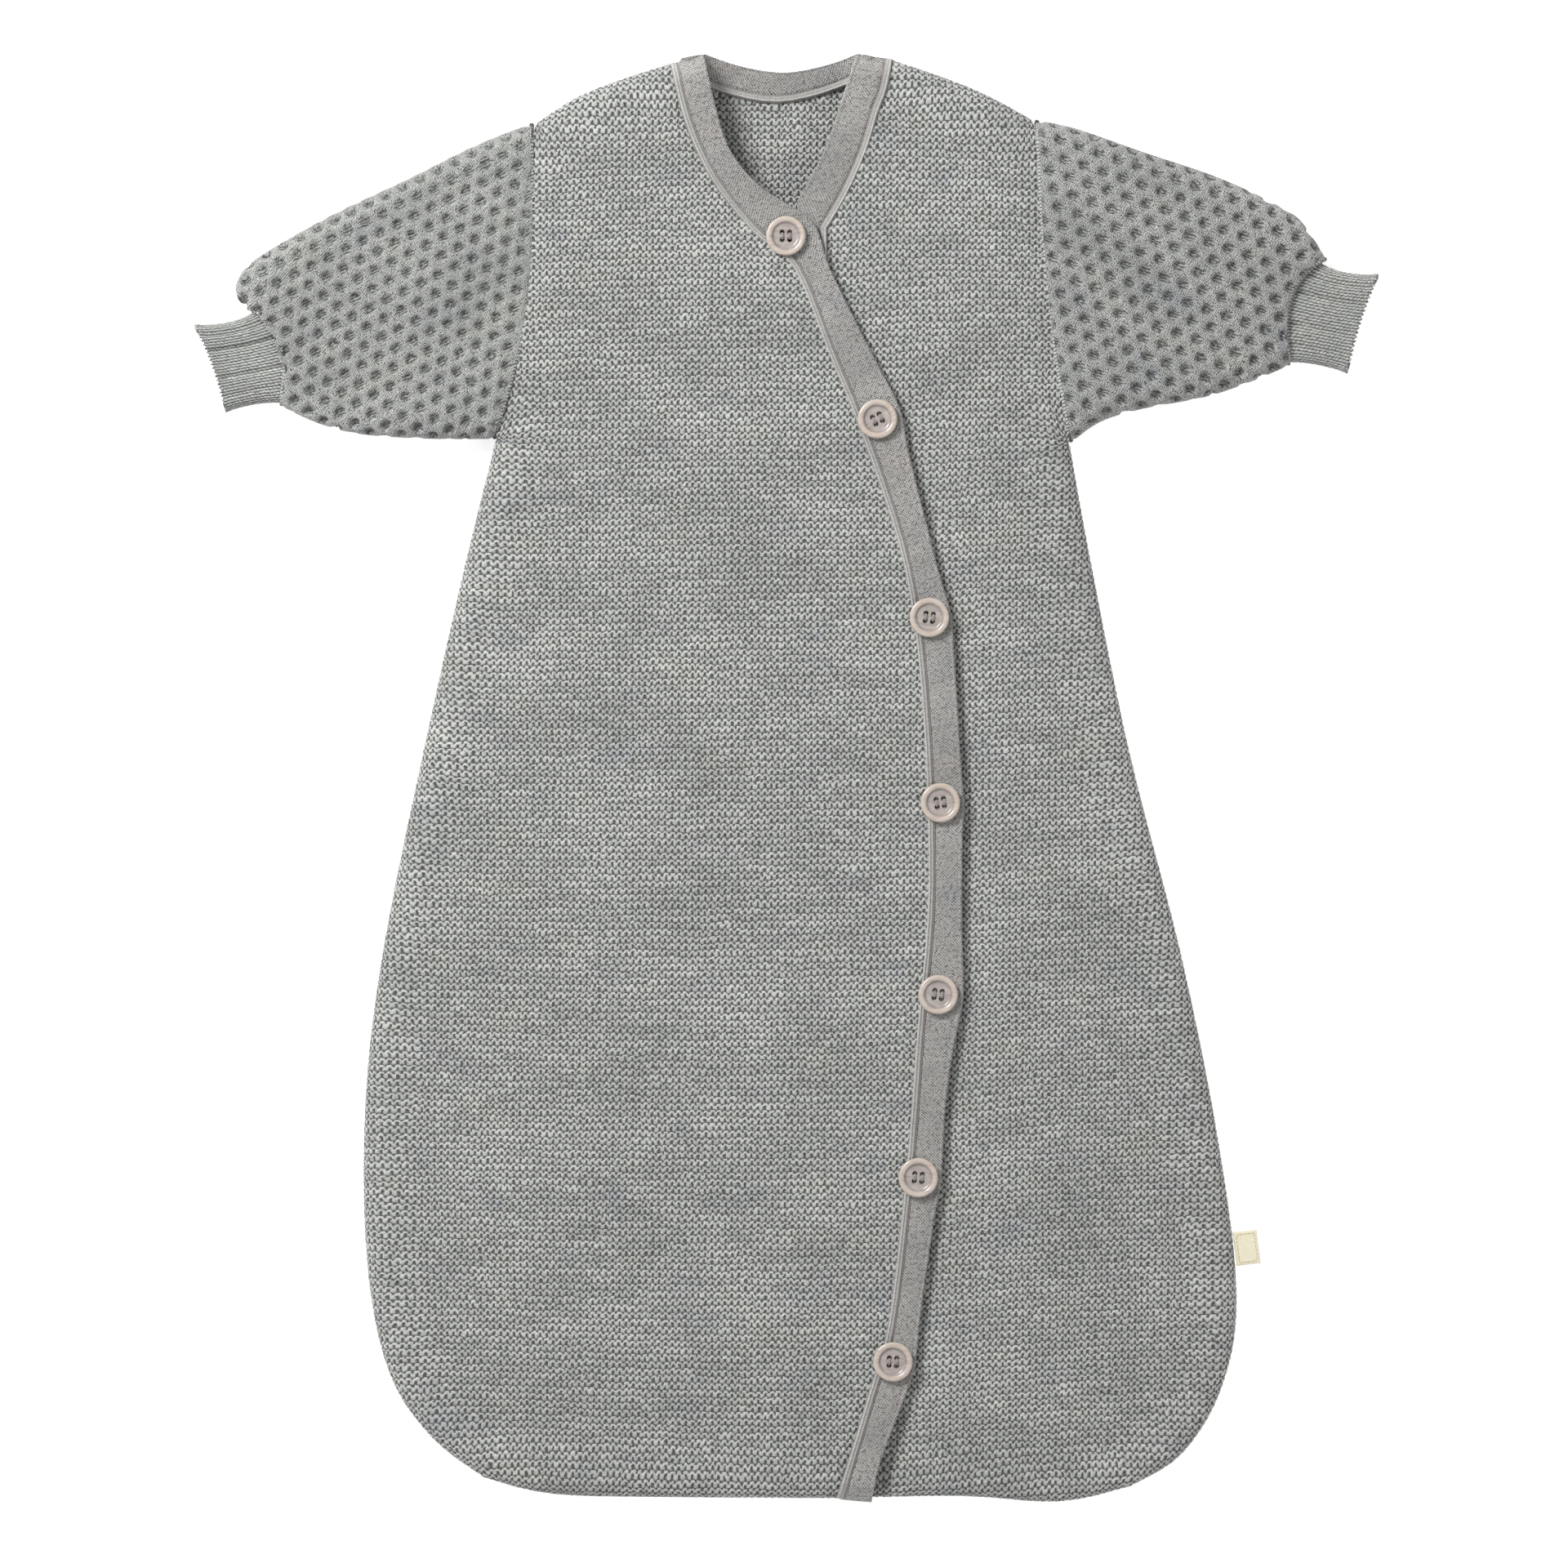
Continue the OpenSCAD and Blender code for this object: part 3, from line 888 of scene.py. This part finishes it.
left_cloth = lay_cloth("left_front_cloth", left_loop, 0.25, 10.0, 12.0, left_top, 0.0)
right_cloth = lay_cloth("right_front_cloth", right_loop, 0.25, 9.0, 12.0, right_top, 30.0, right_warp)
back_cloth = lay_cloth("back_cloth", back_loop, 1 / 3, 7.5, 10.0, back_top, 60.0)


# --- Bands and linked seams ---


def strip(a, b, step, columns, top_of, overhang=0.0):
    """A strip between two lines, whose upper height is top_of(across, along, xy).

    Returns its points, faces and places: across from 0 to 1, along in millimetres."""
    rows = int(max(lengths(a)[-1], lengths(b)[-1]) / step)
    a, b = spaced(a, rows), spaced(b, rows)
    t = np.linspace(-overhang, 1 + overhang, columns)
    xy = (a[:, None] + (b - a)[:, None] * t[None, :, None]).reshape(-1, 2)
    along = np.repeat(lengths((a + b) / 2), columns)
    across = np.tile(t, rows)
    top = np.column_stack([xy, top_of(across, along, xy)])
    width = np.repeat(np.linalg.norm(b - a, axis=1), columns)
    faces = grid_faces(rows, columns)
    if np.cross(b[0] - a[0], a[1] - a[0]) < 0:
        faces = faces[:, ::-1]
    return top, faces, across, along, width


def end_fall(along, depth, reach=11.0):
    """How far a strip bends down at its two ends, to the seams that it ends in."""
    from_end = np.minimum(along, along.max() - along)
    return depth * (1 - np.sin(np.minimum(from_end / reach, 1) * math.pi / 2))


def band_height(base, fall):
    """A band's upper side: a groove at its seam, a crown, and a bead at its free edge."""

    def height(across, along, xy):
        bead = 0.4 * bell(across - 0.94, 0.035) - 0.25 * bell(across - 0.86, 0.03)
        groove = 0.9 * bell(across, 0.05) + 0.7 * clamp((across - 0.95) / 0.05) ** 2
        crown = 0.45 * np.sin(np.pi * across)
        return base(xy) + crown + bead - groove - end_fall(along, fall) + 0.12 * waves(*xy.T, 5, 14)

    return height


def lay_band(name, lines, base, seed, fall, holes=False):
    """A jersey band, with a slit for each button if it has holes."""
    top, faces, across, along, width = strip(*lines, 0.75, 25, band_height(base, fall))
    knit = np.column_stack([across * width / JERSEY, along / JERSEY, np.full(len(top), seed)])
    if holes:
        cut = np.zeros(len(top), bool)
        for k, centre in buttons.items():
            cut |= in_slit(top[:, :2], centre, SLIT_LEAN[k])
        faces = faces[~cut[faces].any(1)]
    solid, faces, knit = shell(top, top - [0, 0, BAND_THICK], faces, knit)
    used = np.unique(faces)
    number = np.full(len(solid), -1)
    number[used] = np.arange(len(used))
    return make_piece(name, solid[used], number[faces], knit[used], jersey_wool)


def in_slit(xy, centre, lean):
    """Which points lie inside a buttonhole."""
    across, along = turned_plan(xy - centre, -lean).T
    return (np.abs(along) < 7.3) & (np.abs(across) < 1.4)


def level(height):
    """A band that lies level at one height."""
    return lambda xy: np.full(len(xy), height)


hole_band_piece = lay_band("buttonhole_band_knit", hole_band, level(HOLE_BAND_Z), 3.0, 10.0, holes=True)
under_band_piece = lay_band("button_band_knit", under_band[::-1], level(UNDER_BAND_Z), 13.0, 6.4)


def neck_rise(xy):
    """The back neck band stands up a little, and more at its ends, where it meets the front."""
    end = np.minimum(np.abs(xy[:, 0] + 44), np.abs(xy[:, 0] - 38))
    return 2.8 + 7.0 * bell(end, 9) + 2.4 * clamp((xy[:, 1] - 308) / 20)


neck_band_piece = lay_band("neck_band_knit", neck_band, neck_rise, 23.0, 0.0)


def lay_ridge(name, lines, base, seed, fall):
    """The linked seam beside a band: a row of loops and a flatter row."""

    def height(across, along, xy):
        u = across * 2 - 1
        lobe = np.maximum(dome(u, -0.55, 0.5) ** 0.5, 0.6 * dome(u, 0.3, 0.55) ** 0.5)
        return base(xy) + 1.3 * (lobe - 1) + 0.1 * np.cos(TAU * along / 2.8) - end_fall(along, fall)

    top, faces, across, along, _ = strip(*lines, 0.7, 15, height, 0.12)
    knit = np.column_stack([across * 2 - 1, along / 1.4, np.full(len(top), seed)])
    return make_piece(name, *shell(top, top - [0, 0, RIDGE_THICK], faces, knit), ridge_wool)


hole_ridge_piece = lay_ridge("buttonhole_ridge", hole_ridge, level(HOLE_BAND_Z + 1.2), 2.0, 10.4)
under_ridge_piece = lay_ridge("button_band_ridge", under_ridge[::-1], level(UNDER_BAND_Z + 1.4), 12.0, 7.0)
neck_ridge_piece = lay_ridge("neck_ridge", neck_ridge, lambda xy: neck_rise(xy) + 0.8, 22.0, 0.0)


# --- Sleeves and cuffs ---


def section(count, half_height, radius, width):
    """Even steps round a flattened tube: share from its upper edge to its lower edge, height, arc."""
    quarter = math.pi / 2 * math.sqrt((radius**2 + half_height**2) / 2)
    flat = width - 2 * radius
    total = 2 * (2 * quarter + flat)
    at = np.arange(count) / count * total
    half = total / 2
    top = at < half
    d = np.where(top, at, total - at)
    mirrored = np.minimum(d, half - d)
    turn = np.clip(mirrored / quarter, 0, 1) * math.pi / 2
    inset = np.where(mirrored < quarter, radius * (1 - np.cos(turn)), radius + mirrored - quarter)
    inset = np.where(d > half / 2, width - inset, inset)
    return inset / width, np.where(top, 1, -1) * np.sin(turn) * half_height, d - half / 2


def cuff_joint_bow(side, share):
    """How the joint between a sleeve and its cuff bends back into the sleeve."""
    return np.array([-WAYS[side], 0.25]) * 9.0 * np.sin(np.pi * share**0.8)


def outward_faces(side, rows, columns):
    """Faces of a tube laid row after row away from the body, turned outwards."""
    faces = grid_faces(rows, columns, True)
    return faces[:, ::-1] if WAYS[side] < 0 else faces


def lay_sleeve(side):
    """A flattened tube from the armhole to the cuff, with the honeycomb's pockets sunk in."""
    arm = arms[side]
    rows, columns = 150, 280
    uppers, lowers = spaced(arm["upper"], rows), spaced(arm["lower"], rows)
    shares = np.linspace(0, 1, rows)
    lattice = np.linalg.inv(LATTICE[side])
    points, knit = [], []
    for s, upper, lower in zip(shares, uppers, lowers):
        across = lower - upper
        width = np.linalg.norm(across)
        half_height = 7.9 - 1.6 * s**2 + 0.8 * math.sin(math.pi * s)
        share, z, arc = section(columns, half_height, min(11.0, width * 0.3), width)
        share = share[:, None]
        bow = armhole_bow(side, share) * (1 - s) ** 3 + cuff_joint_bow(side, share) * s**6
        points.append(np.column_stack([upper + across * share + bow, SLEEVE_Z + z]))
        place = (upper + lower) / 2 + across / width * arc[:, None] + bow
        knit.append(np.column_stack([place @ lattice, np.full(columns, 40 + 20 * arm["way"])]))
    points, knit = np.concatenate(points), np.concatenate(knit)
    faces = outward_faces(side, rows, columns)
    fade = np.repeat(ease(shares, 0.0, 0.03) * (1 - 0.75 * ease(shares, 0.96, 1.0)), columns)
    puff = (honeycomb(knit[:, 0], knit[:, 1]) - POCKET_LEVEL) * POCKET * fade
    points = points + normals(points, faces) * puff[:, None]
    points[:, 2] = np.maximum(points[:, 2], FLOOR_GAP)
    return make_piece(side + "_sleeve_knit", points, faces, knit, honeycomb_wool)


CUFF_RIBS = 72  # round the cuff
CUFF_FOLDS = {0.09: 1.1, 0.17: 1.5, 0.31: 1.2, 0.4: 0.8, 0.62: 1.2, 0.84: 1.2}  # place round it: depth


def lay_cuff(side):
    """A ribbed tube with a waist, a few folds along it, and a scalloped end."""
    arm = arms[side]
    way = arm["way"]
    rows, columns = 30, 220
    shares = np.linspace(0, 1, rows)
    upper, lower = (line[-1] for line in arm["cuff"])
    start_up = arm["upper"][-1] + np.array([-way * 4.0, 0.0])
    start_low = arm["lower"][-1] + np.array([-way * 3.0, 0.5])
    up = start_up + (upper - start_up) * shares[:, None]
    down = start_low + (lower - start_low) * shares[:, None]
    waist = np.sin(np.pi * shares**0.8)[:, None]
    across = (down - up) / np.linalg.norm(down - up, axis=1, keepdims=True)
    up = up + across * 2.6 * waist
    down = down - across * 1.6 * waist
    outer, knit = [], []
    for s, top, bottom in zip(shares, up, down):
        share, z, _ = section(columns, 5.6 + 0.5 * s, 7.0, np.linalg.norm(bottom - top))
        share = share[:, None]
        bow = cuff_joint_bow(side, share) * (1 - s) ** 2
        bow = bow + np.array([-way, 0.25]) * 1.2 * np.sin(np.pi * share) * s
        outer.append(np.column_stack([top + (bottom - top) * share + bow, CUFF_Z + z]))
        rib = np.arange(columns) / columns * CUFF_RIBS
        knit.append(np.column_stack([rib, np.full(columns, s * 18), np.full(columns, 80 + way)]))
    outer, knit = np.concatenate(outer), np.concatenate(knit)
    faces = outward_faces(side, rows, columns)
    out = normals(outer, faces)
    end = np.repeat(ease(shares, 0.85, 1.0), columns)
    fold = sum(depth * bell(knit[:, 0] / CUFF_RIBS - at, 0.012) for at, depth in CUFF_FOLDS.items())
    outward = np.append(up[-1] - up[0] + down[-1] - down[0], 0.0)
    outward /= np.linalg.norm(outward)
    scallop = 0.6 * end * np.cos(TAU * knit[:, 0] * 0.7)
    outer = outer + outward * scallop[:, None] - out * (1.4 * fold * (1 - 0.5 * end))[:, None]
    inner = outer - out * CUFF_THICK
    rise = (ribs(knit[:, 0], knit[:, 1]) - 0.5) * 0.7 + 0.5 * end
    outer = outer + out * rise[:, None]
    outer[:, 2] = np.maximum(outer[:, 2], FLOOR_GAP)
    return make_piece(side + "_cuff_knit", *shell(outer, inner, faces, knit), rib_wool)


sleeves = {side: lay_sleeve(side) for side in arms}
cuffs = {side: lay_cuff(side) for side in arms}


# --- Seams ---


def seam_cord(name, path, radius, swell=0.16, pitch=3.15, closed=False):
    """A cord of linked stitches, which swells at each."""
    wobble = radius * (1 + swell * np.cos(TAU * lengths(path) / pitch))
    return make_piece(name, *sweep(path, wobble, 8, closed), seam_wool)


def flat_cord(name, line, z, radius):
    """A seam that lies at one height."""
    count = int(lengths(line)[-1] / 0.9)
    return seam_cord(name, np.column_stack([spaced(line, count), np.full(count, z)]), radius)


def inset_line(line, distance):
    """A rim line moved towards the middle of the bag."""
    step = np.gradient(line, axis=0)
    step /= np.linalg.norm(step, axis=1, keepdims=True)
    side = np.column_stack([-step[:, 1], step[:, 0]])
    if from_middle(line + side) > from_middle(line):
        side = -side
    return line + side * distance


def ring_cord(name, line, top, bottom, ends, radius):
    """A closed seam over the upper side of a flattened tube and back along its lower side."""
    count = 80
    t = np.linspace(0, 1, count)
    there = spaced(line, count)
    lift = np.minimum(np.minimum(t, 1 - t) * lengths(line)[-1] / ends, 1)
    rise = (top - bottom) / 2 * np.sin(lift * math.pi / 2)
    middle = (top + bottom) / 2
    over = np.column_stack([there, middle + rise])
    back = np.column_stack([there, middle - rise])[::-1]
    return seam_cord(name, np.concatenate([over, back[1:-1]]), radius, 0.15, 3.0, closed=True)


def cuff_joint(side):
    """The line where a sleeve is gathered into its cuff."""
    a, b = arms[side]["upper"][-1], arms[side]["lower"][-1]
    t = np.linspace(0, 1, 30)[:, None]
    return a + (b - a) * t + cuff_joint_bow(side, t)


seam_pieces = {
    name: flat_cord(name + "_linking", inset_line(rim, 1.0), SEAM_Z, 1.25)
    for name, rim in zip(("left_side", "bottom", "right_side", "left_shoulder", "right_shoulder"), rims)
}
armhole_pieces = {
    side: ring_cord(side + "_armhole_linking", armhole(side, 80), 15.8, 1.5, 11.0, 1.1) for side in arms
}
cuff_seam_pieces, underarm_pieces = {}, {}
for side, arm in arms.items():
    cuff_seam_pieces[side] = ring_cord(side + "_cuff_linking", cuff_joint(side), 13.2, 1.6, 7.0, 0.9)
    underarm_pieces[side] = flat_cord(side + "_underarm_linking", arm["lower"] + [0.0, 1.2], 9.0, 1.0)


# --- Buttons and their thread ---

BUTTON_LOW, BUTTON_HIGH = (corner.z * 1000 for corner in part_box("button_1"))
HOLE = 1.7  # from a button's middle to its thread holes, each way
THREAD_RADIUS = 0.3
STITCHING_Z = 20.45  # the thread round each buttonhole
SLIT_HALF_WIDTH, SLIT_HALF_LENGTH = 1.5, 7.6


def lathe(profile, sides=96):
    """A closed turned shape from (radius, height) points, the first and last on the axis."""
    angle = np.arange(sides) / sides * TAU
    ring = np.column_stack([np.cos(angle), np.sin(angle), np.zeros(sides)])
    inner = profile[1:-1]
    ends = np.array([[0, 0, profile[0][1]], [0, 0, profile[-1][1]]])
    points = np.concatenate([ring * r + [0, 0, z] for r, z in inner] + [ends])
    n = len(inner) * sides
    around = np.arange(sides)
    after = (around + 1) % sides
    last = n - sides
    faces = grid_faces(len(inner), sides, True).tolist()
    faces += [(n, int(b), int(a)) for a, b in zip(around, after)]
    faces += [(n + 1, int(a) + last, int(b) + last) for a, b in zip(around, after)]
    mesh = bpy.data.meshes.new("turned")
    mesh.from_pydata((points / 1000).tolist(), [], faces)
    mesh.update()
    return add_object("turned", mesh)


def smooth_line(points, rounds=3):
    """Corner-cutting that keeps the two ends."""
    line = np.array(points, float)
    for _ in range(rounds):
        a, b = line[:-1], line[1:]
        cut = np.stack([a * 0.75 + b * 0.25, a * 0.25 + b * 0.75], 1).reshape(-1, 2)
        line = np.vstack([line[:1], cut[1:-1], line[-1:]])
    return line


def cut_away(shape, cutter):
    """Cut one object out of another, and delete the cutter."""
    cut = shape.modifiers.new("hole", "BOOLEAN")
    cut.operation = "DIFFERENCE"
    cut.solver = "EXACT"
    cut.object = cutter
    bpy.context.view_layer.update()
    ready = shape.evaluated_get(bpy.context.evaluated_depsgraph_get())
    whole = bpy.data.meshes.new_from_object(ready)
    shape.modifiers.clear()
    shape.data = whole
    bpy.data.objects.remove(cutter)


def button_shape():
    """One button's mesh, upside up, with its underside at height 0."""
    thick = BUTTON_HIGH - BUTTON_LOW
    rim = [(6.5, 0), (8.3, 0.25), (9.0, 1.1), (9.0, 1.75), (8.5, thick), (7.3, thick + 0.02)]
    dish = [(6.5, thick - 0.3), (5.7, 1.35), (4.6, 1.2)]
    shape = lathe(smooth_line([(0, 0), *rim, *dish, (0, 1.3)]))
    waist = [(1.45, -1), (1.15, 0.3), (1.0, 0.7), (1.15, 1.1), (1.6, 1.6), (1.6, 2.2)]
    hole_line = smooth_line([(0, -1), *waist, (0, 2.2)], 2)
    for dx in (-HOLE, HOLE):
        for dy in (-HOLE, HOLE):
            cutter = lathe(hole_line, 32)
            cutter.location = (dx / 1000, dy / 1000, 0)
            cut_away(shape, cutter)
    mesh = shape.data
    bpy.data.objects.remove(shape)
    return mesh


def on_button(points, k):
    """Points round a button's middle, turned as button k is and set at its place."""
    plan = turned_plan(points[:, :2], BUTTON_TURN[k]) + buttons[k]
    return np.column_stack([plan, points[:, 2] + BUTTON_LOW])


def lay_button(k):
    mesh = button_blank.copy()
    local = np.array([v.co for v in mesh.vertices]) * 1000
    write_knit(mesh, np.column_stack([local[:, :2], np.full(len(local), k)]))
    mesh.vertices.foreach_set("co", (on_button(local, k) / 1000).astype(np.float32).ravel())
    mesh.shade_smooth()
    mesh.set_sharp_from_angle(angle=math.radians(50))
    mesh.materials.clear()
    mesh.materials.append(button_shell)
    mesh.update()
    return add_object(f"button_{k}_shell", mesh)


def lay_thread(k):
    """Two strands of thread through each pair of a button's holes."""
    down = [(HOLE - 0.35, 0.2), (HOLE - 0.5, 1.3), (0.6, 1.85)]
    bend = smooth_line([(-y, z) for y, z in down] + down[::-1])
    parts = []
    for x in (-HOLE - 0.3, -HOLE + 0.3, HOLE - 0.3, HOLE + 0.3):
        path = np.column_stack([np.full(len(bend), x), bend])
        parts.append(sweep(spaced(path, 26), THREAD_RADIUS, 8))
    points, faces, knit = join_parts(parts)
    return make_piece(f"button_{k}_thread", on_button(points, k), faces, knit, thread_wool)


def wound_shank(centre):
    """Wound thread between the button band and a button."""
    low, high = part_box("thread_shanks")
    z = np.linspace(low.z * 1000, high.z * 1000, 60)
    path = np.column_stack([np.full(60, centre[0]), np.full(60, centre[1]), z])
    return sweep(path, 1.15 + 0.15 * np.cos(TAU * z / 0.55), 16)


def slit_stitching(k):
    """Stitching round a buttonhole, which also hides the cut edge of the band."""
    count = 120
    angle = np.linspace(0, TAU, count, endpoint=False)
    x = SLIT_HALF_WIDTH * np.cos(angle)
    y = SLIT_HALF_LENGTH * np.sign(np.sin(angle)) * np.abs(np.sin(angle)) ** 0.7
    plan = turned_plan(np.column_stack([x, y]), SLIT_LEAN[k]) + buttons[k]
    path = np.column_stack([plan, np.full(count, STITCHING_Z)])
    return sweep(path, 0.75 + 0.12 * np.cos(TAU * np.arange(count) / 3), 10, True)


button_blank = button_shape()
button_pieces = {k: (lay_button(k), lay_thread(k)) for k in buttons}
shank_parts = [wound_shank(centre) for centre in buttons.values()]
shank_piece = make_piece("wound_shanks", *join_parts(shank_parts), thread_wool)
stitching_parts = [slit_stitching(k) for k in buttons]
hole_stitching = make_piece("buttonhole_stitching", *join_parts(stitching_parts), seam_wool)


# --- Side label ---

LABEL_CORNER = (205.8, -222.5)
LABEL_TURN = 7  # degrees
LABEL_WIDE, LABEL_TALL = 11.0, 15.5  # as it lies folded
LABEL_MARGIN = 1.4  # from the label's edge to its stitching


def on_label(points):
    """Points on the label's own plan, moved to its place on the bag."""
    return np.column_stack([turned_plan(points[:, :2], LABEL_TURN) + LABEL_CORNER, points[:, 2]])


def lay_label():
    """A folded tape with soft edges, which waves a little."""
    columns, rows = 34, 46
    x, y = np.meshgrid(np.linspace(0, LABEL_WIDE, columns), np.linspace(0, LABEL_TALL, rows))
    x, y = x.ravel(), y.ravel()
    edge = np.minimum(np.minimum(y, LABEL_TALL - y), LABEL_WIDE - x)
    half = 0.3 + 0.2 * clamp(edge / 0.7) ** 0.5
    middle = LABEL_Z + 0.12 * np.sin(y / 4.2) * x / LABEL_WIDE
    knit = np.column_stack([x, y, np.zeros(len(x))])
    top = on_label(np.column_stack([x, y, middle + half]))
    bottom = on_label(np.column_stack([x, y, middle - half]))
    return make_piece("label_ribbon", *shell(top, bottom, grid_faces(rows, columns), knit), label_tape)


def lay_label_stitches():
    """A plain running stitch round the label."""
    low = LABEL_MARGIN
    right, top = LABEL_WIDE - LABEL_MARGIN, LABEL_TALL - LABEL_MARGIN
    ring = spaced(np.array([[low, low], [right, low], [right, top], [low, top], [low, low]]), 25)
    t = np.linspace(0.14, 0.86, 9)[:, None]
    z = LABEL_Z + 0.42 + 0.22 * np.sin(np.linspace(0, math.pi, 9))
    parts = [
        sweep(on_label(np.column_stack([a + (b - a) * t, z])), 0.2, 8) for a, b in zip(ring[:-1], ring[1:])
    ]
    return make_piece("label_running_stitch", *join_parts(parts), label_thread)


label_piece = lay_label()
label_stitch_piece = lay_label_stitches()


# --- Riding and replacing ---

fold_middle = np.append((fold_top + fold_end) / 2, 20.0)
across_fold = np.array([fold_top[1] - fold_end[1], fold_end[0] - fold_top[0], 0.0])
across_fold *= 9 / np.linalg.norm(across_fold)  # 9 mm long, across the fold


def over_fold(piece):
    """Bake a piece's transform into its mesh; it is not bent over the flap's fold."""
    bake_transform(piece)


def over_armhole(piece, side):
    """Bake a piece's transform into its mesh; it is not bent over the first 34 mm of the sleeve."""
    a, b = arms[side]["upper"][0], arms[side]["lower"][0]
    way = WAYS[side]
    chord = (b - a) / np.linalg.norm(b - a)
    outward = np.array([-chord[1], chord[0], 0.0])
    outward *= way * np.sign(outward[0])
    middle = np.append((a + b) / 2, 9.0)
    side + "_arm"
    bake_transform(piece)


def replace(piece, slot, *nodes):
    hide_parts(*nodes)


def ride_and_replace(piece, body, slot, node):
    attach(piece, body)
    replace(piece, slot, node)


over_fold(left_cloth)
replace(left_cloth, "garter_knit", "left_front_panel", "left_front_flap")
ride_and_replace(right_cloth, "root", "garter_knit", "right_front_panel")
ride_and_replace(back_cloth, "root", "garter_knit", "back_panel")
over_fold(hole_band_piece)
replace(hole_band_piece, "jersey_band", "buttonhole_band")
over_fold(hole_ridge_piece)
replace(hole_ridge_piece, "linked_seam", "buttonhole_band_seam")
over_fold(hole_stitching)
replace(hole_stitching, "knit_seam", "buttonhole_edging")
ride_and_replace(under_band_piece, "root", "jersey_band", "button_band")
ride_and_replace(under_ridge_piece, "root", "linked_seam", "button_band_seam")
ride_and_replace(neck_band_piece, "root", "jersey_band", "back_neck_band")
ride_and_replace(neck_ridge_piece, "root", "linked_seam", "back_neck_seam")
for name, piece in seam_pieces.items():
    ride_and_replace(piece, "root", "knit_seam", name + "_seam")
for side in arms:
    over_armhole(sleeves[side], side)
    replace(sleeves[side], "honeycomb_knit", side + "_sleeve")
    over_armhole(underarm_pieces[side], side)
    replace(underarm_pieces[side], "knit_seam", side + "_underarm_seam")
    ride_and_replace(cuffs[side], side + "_arm", "rib_knit", side + "_cuff")
    ride_and_replace(cuff_seam_pieces[side], side + "_arm", "knit_seam", side + "_cuff_seam")
    ride_and_replace(armhole_pieces[side], "root", "knit_seam", side + "_armhole_seam")
for k, (shell_piece, thread_piece) in button_pieces.items():
    ride_and_replace(shell_piece, f"button_{k}_body", "button_shell", f"button_{k}")
    ride_and_replace(thread_piece, f"button_{k}_body", "sewing_thread", f"thread_{k}")
ride_and_replace(shank_piece, "root", "sewing_thread", "thread_shanks")
ride_and_replace(label_piece, "label", "label_tape", "side_label")
ride_and_replace(label_stitch_piece, "label", "label_thread", "label_stitching")


def cut_sleeve(side):
    """Work out the widths of a sleeve's two ends; the sleeve and its cuff are knitted flat, twice as wide
    as they lie, and joined below.
    """
    arm = arms[side]
    ends = [np.linalg.norm(arm["upper"][k] - arm["lower"][k]) for k in (0, -1)]


for side in arms:
    cut_sleeve(side)


# --- Floor, light and camera ---

FLOOR_HALF = 4000
FLOOR_Z = -0.6
CAMERA_LENS = 150
CAMERA_SENSOR = 36
VIEW_WIDTH = 0.7132  # metres across the picture, at the height of the bag
BAG_HEIGHT = 0.013  # metres


def lay_floor():
    """A plain pale floor, bright enough to look white."""
    material, _, shader = new_material("floor")
    set_inputs(shader, {"Base Color": (0.93, 0.93, 0.93, 1), "Roughness": 0.9})
    set_inputs(shader, {"Emission Color": (1, 1, 1, 1), "Emission Strength": 0.62})
    corners = np.array([[-1, -1, 0], [1, -1, 0], [1, 1, 0], [-1, 1, 0]]) * FLOOR_HALF + [0, 0, FLOOR_Z]
    return make_piece("floor", corners, [[0, 1, 2, 3]], np.zeros((4, 3)), material)


def light_the_room(strength):
    world = bpy.data.worlds.new("studio")
    world.use_nodes = True
    set_inputs(world.node_tree.nodes["Background"], {"Color": (1, 1, 1, 1), "Strength": strength})
    bpy.context.scene.world = world


def add_lamp(name, place, size, power):
    """A round lamp that shines at the middle of the bag."""
    data = bpy.data.lights.new(name, "AREA")
    data.shape = "DISK"
    data.size = size
    data.energy = power
    light = add_object(name, data)
    light.location = place
    light.rotation_mode = "QUATERNION"
    light.rotation_quaternion = (-Vector(place)).to_track_quat("-Z", "Y")


def add_camera():
    """A camera straight above the bag."""
    data = bpy.data.cameras.new("camera")
    data.lens = CAMERA_LENS
    data.sensor_width = CAMERA_SENSOR
    data.clip_end = 30
    camera = add_object("camera", data)
    camera.location = (-0.0004, -0.0030, VIEW_WIDTH * CAMERA_LENS / CAMERA_SENSOR + BAG_HEIGHT)
    bpy.context.scene.camera = camera


lay_floor()
light_the_room(0.42)
add_lamp("key", (-1.15, 1.2, 1.6), 0.8, 50)
add_lamp("fill", (1.6, -1.4, 2.4), 1.8, 14)
add_camera()
bpy.context.scene.view_settings.view_transform = "Standard"
